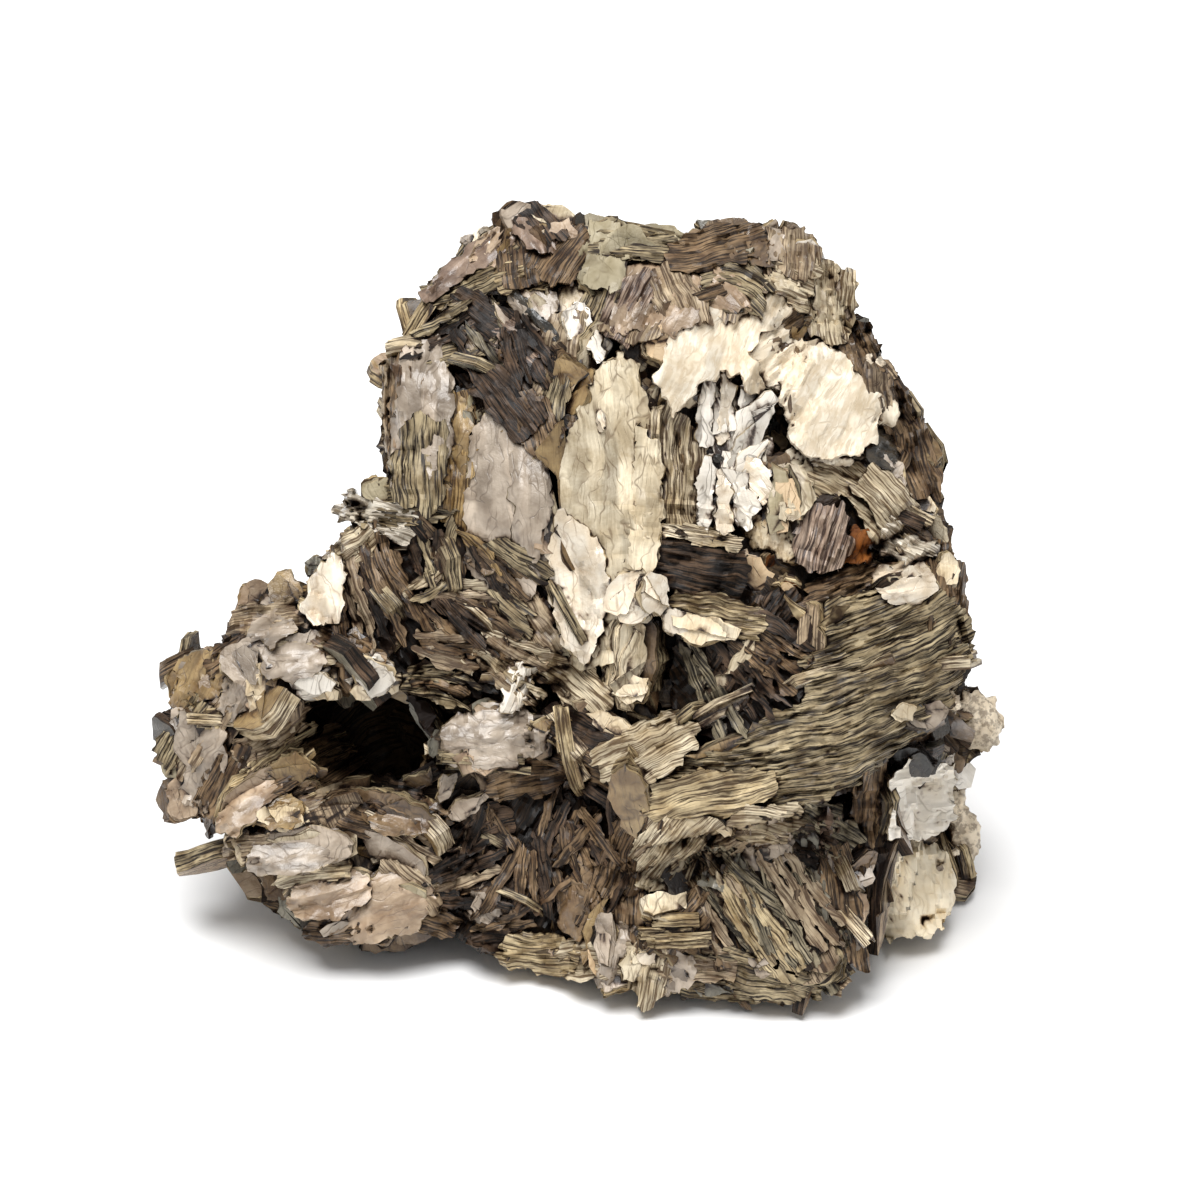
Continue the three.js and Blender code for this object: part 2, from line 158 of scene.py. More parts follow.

# ---------------------------------------------------------------- crystals listed one by one
# across, up, how far it stands proud, wide, tall, thick, roll, tip and turn where they
# aren't 0, habit where it isn't a plate, finish of its face, finish of its edge
CROWN = [
    (-21, 123.8, 1.5, 17, 3, 4, 22, -10, "book", "pitch", OLIVE),
    (-25, 119.5, 0.5, 12, 4, 4, 38, -10, "book", "umber", BROWN),
    (-26, 116.3, 1, 10, 3, 4, 34, 30, "book", "slate", DARK),
    (-17, 130.5, 3, 9, 4, 2, 46, -20, 10, "flake", "silver", CREAM),
    (-10, 134, 3, 12, 8, 4, -52, -15, 10, "lavender", BROWN),
    (-5.5, 136, 3, 11, 5, 3, -16, -30, "linen", BROWN),
    (-3.8, 132.5, 4, 6, 8, 3, 20, -10, "blush", CREAM),
    (-0.6, 133.3, 3, 4.5, 7, 3, 20, -10, 35, "book", "pitch", DARK),
    (-13, 131, 3.5, 6, 9, 3, -28, 0, 25, "honey", BROWN),
    (-8, 131, 3.5, 5, 7, 3, 14, 0, -15, "umber", BROWN),
    (-14, 126, 3, 8, 5, 3, 30, 20, "honey", TAN),
    (-8.5, 122, 3.4, 7, 9, 2.5, 32, 0, 12, "lavender", DARK),
    (-3, 121.5, 4, 7, 8, 3, -6, -5, "peach", CREAM),
    (-18, 121, 2, 7, 6, 3, 20, -10, -10, "sage", BROWN),
    (-14.5, 120, 2, 3, 9, 2, 36, 0, 40, "pitch", DARK),
    (3.2, 131.5, 3, 8, 12, 4, 16, -12, -10, "sage", TAN),
    (8.3, 128.5, 3, 12, 11, 4, 8, -18, 5, "sage", OLIVE),
    (12, 132.8, 2, 13, 6, 3, -3, -55, "sage", OLIVE),
    (5, 134.5, 1.5, 5, 6, 4, 0, -10, "sage", OLIVE),
    (3, 124, 4, 8, 6, 3, 0, -20, "sage", TAN),
    (8.5, 122, 4, 10, 12, 5, -14, -22, -18, "book", "bark", BROWN),
    (15.5, 123.8, 4, 13, 11, 5, -16, -32, 6, "book", "bark", OLIVE),
    (5, 117.6, 4, 9, 7, 4, -22, -10, "ruled", BROWN),
    (10.5, 117.8, 4, 7, 7, 4, 8, -10, "bark", BROWN),
    (15.7, 117.5, 4, 5, 8, 3, 10, 0, 20, "umber", DARK),
    (25, 123.4, 4, 12, 11, 5, -6, -22, "disc", "bark", OLIVE),
    (24, 127.8, 3, 12, 5, 3, 14, -40, "sage", OLIVE),
    (20.5, 131.6, 3, 10, 5, 3, 18, -30, "umber", BROWN),
    (30.5, 132.4, 3, 9, 6, 3, -10, -20, "blush", BROWN),
    (25.5, 134.6, 2, 8, 4, 3, 4, -40, "flake", "bark", BROWN),
    (30, 127.3, 1, 5, 7, 2, 36, 0, 10, "pitch", DARK),
    (45.2, 122, 3, 4, 9, 4, -6, 0, 20, "lavender", BROWN),
    (45.5, 115.5, 3, 4, 9, 4, 22, 0, 30, "umber", DARK),
    (39.5, 119, 3, 5, 6, 2.5, 30, "flake", "honey", BROWN),
    (36, 116.6, 3.5, 9, 4, 2.5, 30, 10, "flake", "honey", BROWN),
    (38.4, 115.8, 4.5, 2.6, 3.4, 1.2, 0, "flake", "lavender", CREAM),
    (40.5, 114.6, 4, 4, 2, 2, 10, "flake", "rust", BROWN),
]
UPPER_LEFT = [
    (-22.6, 98, 2.5, 8, 15, 4, -8, 0, -10, "honey", OLIVE),
    (-28, 93, 2.4, 9, 9, 3, 0, 0, -6, "umber", BROWN),
    (-27.6, 99.5, 2.6, 7, 8, 2, 2, 0, -8, "flake", "blush", BROWN),
    (-24, 110.4, 2.6, 3, 10, 3, 12, 0, 45, "ruled", BROWN),
    # two small silver flakes where highlights shine: painted highlights
    (-32, 91, 3.4, 2.2, 4, 1.5, 12, "flake", "silver", TAN),
    (-24, 91.6, 4, 1.8, 5, 1.5, 10, "flake", "silver", TAN),
    (-21, 90, 3.4, 5, 3, 2, 0, "flake", "peach", TAN),
    (-19.5, 104.6, 3, 8, 3.5, 2, -12, 30, "flake", "cream", "honey"),
    (-17.2, 101.5, 3, 6, 8, 3, -8, "sage", TAN),
    (-18.6, 91, 3.4, 3, 20, 3, 0, 0, -40, "slate", OLIVE),
    (-7, 86, 3.8, 6, 17, 3, 2, 0, 4, "blush", "honey"),
    (-4.4, 88, 4, 2.6, 15, 3, 0, 0, 30, "honey", BROWN),
    (-10, 98.6, 4, 8, 5, 3, -30, "flake", "honey", BROWN),
    (-8.5, 103.8, 2.6, 10, 7, 3, -36, -10, 10, "umber", DARK),
    (-6, 97.6, 3, 7, 4, 2, -10, "flake", "umber", DARK),
    (-10, 114, 4.5, 2.6, 17, 2, 40, 0, 30, "blade", "lavender", CREAM),
    (-14, 111.5, 3.2, 2.4, 15, 2, 36, 0, 40, "blade", "pitch", OLIVE),
    (-13.4, 106.4, 4, 17, 4, 2, -40, 60, "blade", "slate", OLIVE),
    (-16, 108.5, 3.4, 14, 4, 2, -32, 64, "blade", "pitch", OLIVE),
    (-6.5, 113.5, 2.6, 5, 9, 2.4, 24, 0, 30, "umber", DARK),
    (-17.5, 114.5, 3.6, 12, 4, 2.4, 12, 40, "blade", "pitch", OLIVE),
    (-6.5, 117.5, 4.4, 3, 11, 2, 34, 0, 35, "blade", "linen", CREAM),
    (-1.3, 117, 5, 5, 7, 2.4, -12, -6, 10, "silver", CREAM),
    (0.6, 112, 4.6, 5, 12, 3, -12, -6, 30, "linen", OLIVE),
    (2.8, 113.2, 5.6, 4, 4, 2, 0, "flake", "pearl", CREAM),
    (-2.2, 108.6, 4, 6, 7, 3, 24, "honey", BROWN),
    (-1, 98, 4, 4, 7, 3, 24, "umber", BROWN),
    (0.6, 104, 4.6, 4, 9, 3, -22, 0, -30, "honey", TAN),
]
CENTRE = [
    (3.4, 64.4, 5, 9, 10, 2.4, 8, -8, "linen", TAN),
    (4, 61, 5, 5, 6, 2, -10, "flake", "linen", TAN),
    (3.1, 100.2, 6.4, 1.7, 3.6, 1, 2, "disc", "pearl", "pearl"),
    (-4.2, 87, 4.6, 3, 22, 3, 2, 0, 24, "honey", BROWN),
    (9.4, 113.5, 4.8, 5, 8, 3, 3, -6, -8, "disc", "cream", TAN),
    (14.4, 113.2, 5.2, 7, 7, 3, 0, -8, "disc", "peach", TAN),
    (13, 104, 4, 5, 9, 2.6, -18, "linen", OLIVE),
    (8.2, 70.2, 7, 9, 8, 2.4, 10, -10, "pearl", CREAM),
    (12, 70.6, 7, 5.6, 6.4, 2.4, -20, -6, 10, "pearl", CREAM),
    (9.6, 66.8, 6.6, 5, 3, 2, 20, 20, "flake", "cream", "honey"),
    (16, 66, 7, 5, 5, 1.8, 20, "pearl", CREAM),
    (20.4, 64.3, 6.8, 11, 4.6, 2.2, -12, "cream", CREAM),
    (7.2, 59.4, 4.6, 5.6, 15, 4, 3, 0, 25, "linen", CREAM),
    (11.6, 60.2, 4, 5, 14, 4, -3, 0, -32, "umber", OLIVE),
    (8.4, 54, 5, 6, 5, 2, 20, "flake", "cream", TAN),
    (14.6, 53, 3.6, 5, 4, 2.4, -30, "flake", "blush", BROWN),
    (24.6, 100.4, 5.4, 5, 14, 2, 6, -4, -8, "silver", CREAM),
    (28.2, 97.4, 5.4, 5.4, 15, 2, -20, -4, 10, "silver", CREAM),
    (29, 93, 5.2, 5, 11, 2, -52, -4, 10, "silver", CREAM),
    (21.6, 88, 5, 3.4, 13, 2, -2, 0, -10, "silver", CREAM),
    (24.4, 87.4, 5.2, 3.4, 12, 2, 8, "silver", TAN),
    (27.6, 88.6, 5.2, 5, 12, 2, 26, 0, 10, "silver", CREAM),
    (23.4, 93.6, 6.4, 1.9, 1.4, 1, 0, "disc", "pitch", DARK),
]
DARK_BOOKS = [
    (25, 82.6, 5.6, 9, 5, 3, -24, 50, "book", "pitch", DARK),
    (26.4, 57.8, 5, 2.8, 14, 2, -24, 0, 20, "linen", CREAM),
    (23.6, 55.6, 3.8, 2, 10, 3, -30, 0, 40, "slate", DARK),
    (39, 61, 5, 5.4, 14, 3, -4, 0, -12, "bark", TAN),
    (41.6, 60.6, 3, 4.6, 9, 3, 10, 0, 20, "umber", BROWN),
    (40, 64.6, 6, 13, 2, 0.8, -40, 40, "blade", TAN, TAN),
    (40, 64.6, 5.6, 10, 2, 0.8, 40, 40, "blade", TAN, TAN),
]
OLIVE_BOOKS = [
    (8.6, 36.6, 5, 7, 13, 5, 6, 10, -30, "book", "honey", TAN),
    (55.5, 47, 3.4, 13, 9, 5, 34, 60, "book", "umber", DARK),
    (58.8, 50.2, 4.6, 6, 4, 2, 36, "flake", "lavender", BROWN),
    (54, 50.6, 5, 4, 2.6, 1.4, 20, "flake", "cream", TAN),
    (57, 42, 3, 8, 5, 4, -20, 10, "book", "pitch", DARK),
]
# Books lying edge-on, drawn as many thin ledges: across, up, how far proud, length, depth,
# height of the whole stack, roll, how many ledges, faces, edges
STACKS = [
    (-61, 48, 4.6, 16, 7, 1.8, -3, 2, ("linen",), (CREAM,)),
    (-18, 41.6, 4.2, 15, 7, 2.4, -5, 3, ("slate",), (OLIVE,)),
    (15.2, 13.4, 5.2, 10, 9, 5, 0, 4, ("honey",), (TAN,)),
    (-5, 45, 3.6, 12, 7, 2, -30, 2, ("umber",), (TAN,)),
    (61, 60, 4, 10, 9, 4, 24, 3, ("sage",), (OLIVE,)),
    (59, 78, 4.2, 9, 8, 4, -22, 4, ("linen", "umber"), (TAN, BROWN)),
    (55, 84.4, 3.8, 9, 8, 3, -26, 3, ("umber",), (DARK, CREAM)),
    (-30, 37, 3.6, 11, 7, 2.4, 30, 3, ("umber",), (BROWN,)),
]
# Books seen edge-on: across, up, how long along the sheets, how tall through them, roll,
# how far proud, edge, and where they aren't 0 slope upward and bow
EDGE_BOOKS = [
    # upper left and crown
    (-15.3, 112.3, 15, 7, -50, 4.6, SLATE),
    (-9, 108.4, 13, 8, -62, 5, BROWN),
    (-20.4, 116, 17, 6, 22, 4.4, OLIVE, 0, 0.01),
    (-3.6, 111, 18, 6, 76, 5, FAWN),
    (-22.4, 93.5, 24, 7, 89, 4.6, HONEY, 0, 0.003),
    (-31.5, 99, 26, 4, 86, 3.6, BROWN, 0.1),
    (-17, 119, 12, 5, -35, 4.6, DARK),
    (-12, 114.6, 9, 5, -40, 5.2, PLUM),
    (-6.4, 100.6, 14, 5, 84, 5.2, OLIVE),
    (-19, 126, 18, 5, 24, 4.4, OLIVE, -0.1, 0.004),
    (-24, 118, 12, 4, 34, 4, BROWN),
    (-4, 131, 11, 7, 60, 4.6, BROWN, -0.2),
    (-10, 130, 10, 8, 100, 4.4, BROWN, -0.2),
    (-7, 136, 9, 5, 130, 4.4, DARK, -0.2),
    (-28, 93, 17, 8, 88, 6.2, OLIVE),
    (-12.6, 103.6, 12, 6, -50, 6.6, DARK),
    (-8, 99.6, 11, 5, -66, 6.6, BROWN),
    (-35.6, 84.4, 13, 5, -16, 5, SILVER),
    (-40, 78.4, 9, 5, 40, 5, LINEN),
    (53, 86, 14, 6, -45, 5, LINEN),
    (56, 79.6, 10, 5, -30, 5, SILVER),
    (20, 36.6, 22, 7, 14, 5.6, TAN),
    (30, 32, 12, 6, -8, 5.4, LINEN),
    (-8, 8, 14, 5, -4, 4.6, TAN),
    (2, 8, 12, 5, 10, 4.6, LINEN),
    (11, 44, 16, 6, 24, 6, LINEN),
    (14.4, 29, 14, 8, 47, 6, LINEN),
    (9, 131.4, 14, 4, -6, 4.2, OLIVE, -0.3),
    (24, 131.6, 18, 6, 14, 5, BROWN, -0.3, 0.01),
    (37, 130.4, 9, 8, 80, 4.6, FAWN, -0.3),
    (36, 125, 9, 7, -20, 5.4, LINEN, -0.1),
    (43.4, 121, 14, 6, 88, 4.8, LINEN),
    (8.6, 121, 13, 6, 62, 5.8, PLUM, -0.1, -0.006),
    (16.6, 121.6, 13, 6, 108, 5.8, FAWN, -0.1, 0.006),
    (26.4, 124, 10, 8, -15, 5.6, OLIVE, -0.1, -0.06),
    (1.6, 118.6, 12, 6, 70, 5, OLIVE),
    # right edge
    (48.4, 113, 12, 6, -70, 4, BROWN),
    (53, 104, 12, 6, -62, 4, BROWN),
    (57.6, 94, 13, 6, -75, 3.8, BROWN),
    (37.6, 118.6, 9, 4, 40, 4.2, BROWN),
    # middle
    (-2, 56, 15, 6, -42, 5, LINEN),
    (-8, 65, 12, 5, -60, 5, FAWN),
    (0, 47, 15, 6, -25, 4.6, DARK),
    (-9, 39, 14, 5, 12, 4.4, BROWN),
    (3, 40, 14, 5, -20, 4.6, BROWN),
    (-18, 31, 12, 5, 10, 4, DARK),
    (8, 26, 14, 6, 70, 4.8, BROWN),
    (14, 27, 12, 6, 50, 5, FAWN),
    (7, 14, 12, 5, 86, 4.4, BROWN),
    # lower right
    (27, 18, 22, 8, -52, 4.8, SLATE, 0, 0.004),
    (34.6, 15, 20, 6, -58, 4.6, DARK),
    (39.6, 14, 22, 6, -66, 4.8, SLATE),
    (44.6, 18, 22, 5, -78, 4.6, BROWN),
    (35, 29, 14, 6, -16, 4.4, DARK),
    (24.6, 28, 13, 6, 34, 4.6, FAWN),
    (42, 30, 11, 6, -30, 4.4, SLATE),
    (17, 14, 13, 6, 56, 4.6, BROWN),
    (20, 8, 13, 5, -8, 4.4, FAWN),
    (31, 5, 16, 5, -14, 4.2, OLIVE),
    (11, 6, 11, 5, 80, 4.6, LINEN),
    (39, 6, 12, 4, -24, 4, FAWN),
    # left lobe
    (-55, 45, 15, 4, 30, 5, FAWN, 0, 0.01),
    (-50, 40, 14, 3.6, 24, 5, BROWN),
    (-63, 37, 15, 5, 62, 4.6, BROWN, 0.1, 0.006),
    (-70, 46, 14, 5, 56, 4.2, OLIVE, 0.1),
    (-40, 31.6, 14, 3.6, -18, 5, BROWN),
    (-34, 36, 12, 3.6, -8, 4.4, DARK),
    (-54, 27, 16, 3.6, 2, 5.6, FAWN, 0, -0.01),
    (-47, 22, 14, 3, 8, 5.6, LINEN, 0, -0.01),
    (-40, 12, 16, 3.6, 4, 4.6, BROWN),
    (-30, 20, 11, 4, -50, 4.8, FAWN),
    (-26, 14, 9, 4, -20, 4, BROWN),
    (-55, 66, 12, 4, 6, 4.6, FAWN, -0.1),
    (-61, 60, 12, 4, 30, 4.4, BROWN, -0.1),
    (-49, 60, 11, 4, -4, 5, LINEN, -0.1),
    (-41, 61, 12, 4, -24, 4.8, BROWN),
]
# Runs of thin blades with gaps between: across, up, length, roll, how many, how far
# apart, how much each turns from the last, how far proud, edges, and bow where it isn't 0
BLADE_RUNS = [
    (-37, 71.4, 21, -70, 7, 1.7, 3, 5, (FAWN, DARK, BROWN), 0.006),
    (-27.6, 79.6, 9, -60, 3, 1.8, 14, 5, (BROWN, DARK), 0.01),
    (-25, 77.6, 10, -86, 3, 1.7, -12, 5.2, (OLIVE, DARK), 0.02),
    (-21, 65, 17, -42, 5, 1.7, 5, 5.6, (DARK, LINEN, BROWN), 0.006),
    (-19.6, 77, 10, -66, 3, 1.8, 20, 5.2, (HONEY, BROWN), -0.02),
    (-12.6, 74.6, 13, -42, 5, 1.5, 4, 5.6, (OLIVE, BROWN, DARK), 0.01),
    (-26.6, 71.6, 8, 28, 2, 1.8, 8, 6, (LINEN, OLIVE), 0.03),
    (-20, 71, 12, -6, 2, 1.7, -6, 6, (LINEN, FAWN), 0.01),
    (-23, 61, 12, -12, 3, 1.6, 6, 5.6, (FAWN, BROWN), 0.01),
    (-25, 55, 14, -8, 4, 1.5, 3, 5, (BROWN, DARK, OLIVE), -0.02),
    (-12, 58.4, 14, -30, 5, 1.5, 4, 5.4, (FAWN, BROWN, LINEN), 0.01),
    (-13, 66.6, 10, -50, 4, 1.6, 6, 5.6, (BROWN, OLIVE), 0.01),
    # under the middle
    (-19.4, 28.4, 11, 64, 3, 1.8, -14, 4.4, (BROWN, DARK)),
    (-15, 28, 11, 112, 3, 1.8, -12, 4.4, (DARK, BROWN)),
    (-21, 20.6, 16, 14, 5, 1.7, 7, 4.4, (BROWN, DARK, FAWN), -0.01),
    (-12, 18.6, 15, 46, 4, 1.8, 9, 4.6, (DARK, BROWN), 0.01),
    (-7.6, 20.6, 15, 96, 4, 1.8, -7, 4.6, (BROWN, DARK)),
    (-4, 29, 13, 60, 4, 1.8, 8, 4.4, (DARK, BROWN)),
    (1, 26, 13, 118, 4, 1.8, -8, 4.6, (DARK, BROWN)),
    (2, 18, 14, 70, 4, 1.7, 7, 4.6, (BROWN, DARK), 0.01),
    (-14, 11, 13, 4, 3, 1.6, 5, 4.2, (BROWN, DARK)),
    (-29, 30, 15, -24, 4, 1.6, 5, 4.8, (FAWN, BROWN), 0.01),
    # left lobe
    (-52, 40, 17, 30, 4, 1.6, 4, 5, (TAN, BROWN), -0.01),
    (-45, 36.6, 13, 20, 4, 1.6, 6, 4.6, (BROWN, FAWN)),
    (-66, 45, 14, 58, 4, 1.7, 5, 4.2, (BROWN, FAWN)),
    # upper left and crown
    (-16, 112, 15, -52, 5, 1.7, 3, 5.4, (SLATE, FAWN, DARK)),
    (-9, 112.4, 13, -64, 5, 1.6, 4, 5.6, (LINEN, DARK, BROWN), 0.01),
    (-24, 116, 14, 24, 4, 1.6, 5, 4.6, (OLIVE, DARK), 0.01),
    # lower right
    (25, 19, 20, -50, 5, 1.9, 4, 5.2, (FAWN, SLATE), 0.006),
    (35, 17, 20, -58, 6, 1.9, 3, 5.2, (SLATE, FAWN, DARK), 0.006),
    (31, 62, 16, -34, 4, 2, 4, 4.4, (DARK, BROWN)),
    (25, 55, 18, -58, 5, 2, 4, 4.4, (DARK, SLATE, DARK)),
]
# Dark sheets of painted shade behind the blades, standing for the hollows' shadow: outline, roll
SHADE_SHEETS = [
    ([(-40, 82), (-32, 84), (-20, 79), (-11, 76), (-5, 69), (-6, 60), (-12, 53), (-28, 53), (-36, 60),
     (-40, 70)], -50),
    ([(-24, 36), (-14, 37), (-2, 35), (6, 32), (7, 14), (-4, 8), (-18, 8), (-26, 14), (-27, 28)], 60),
    ([(-20, 120), (-8, 118), (-2, 108), (-4, 97), (-10, 99), (-18, 106)], -50),
    ([(16, 66), (30, 67), (40, 60), (34, 48), (22, 45), (15, 52)], -50),
]
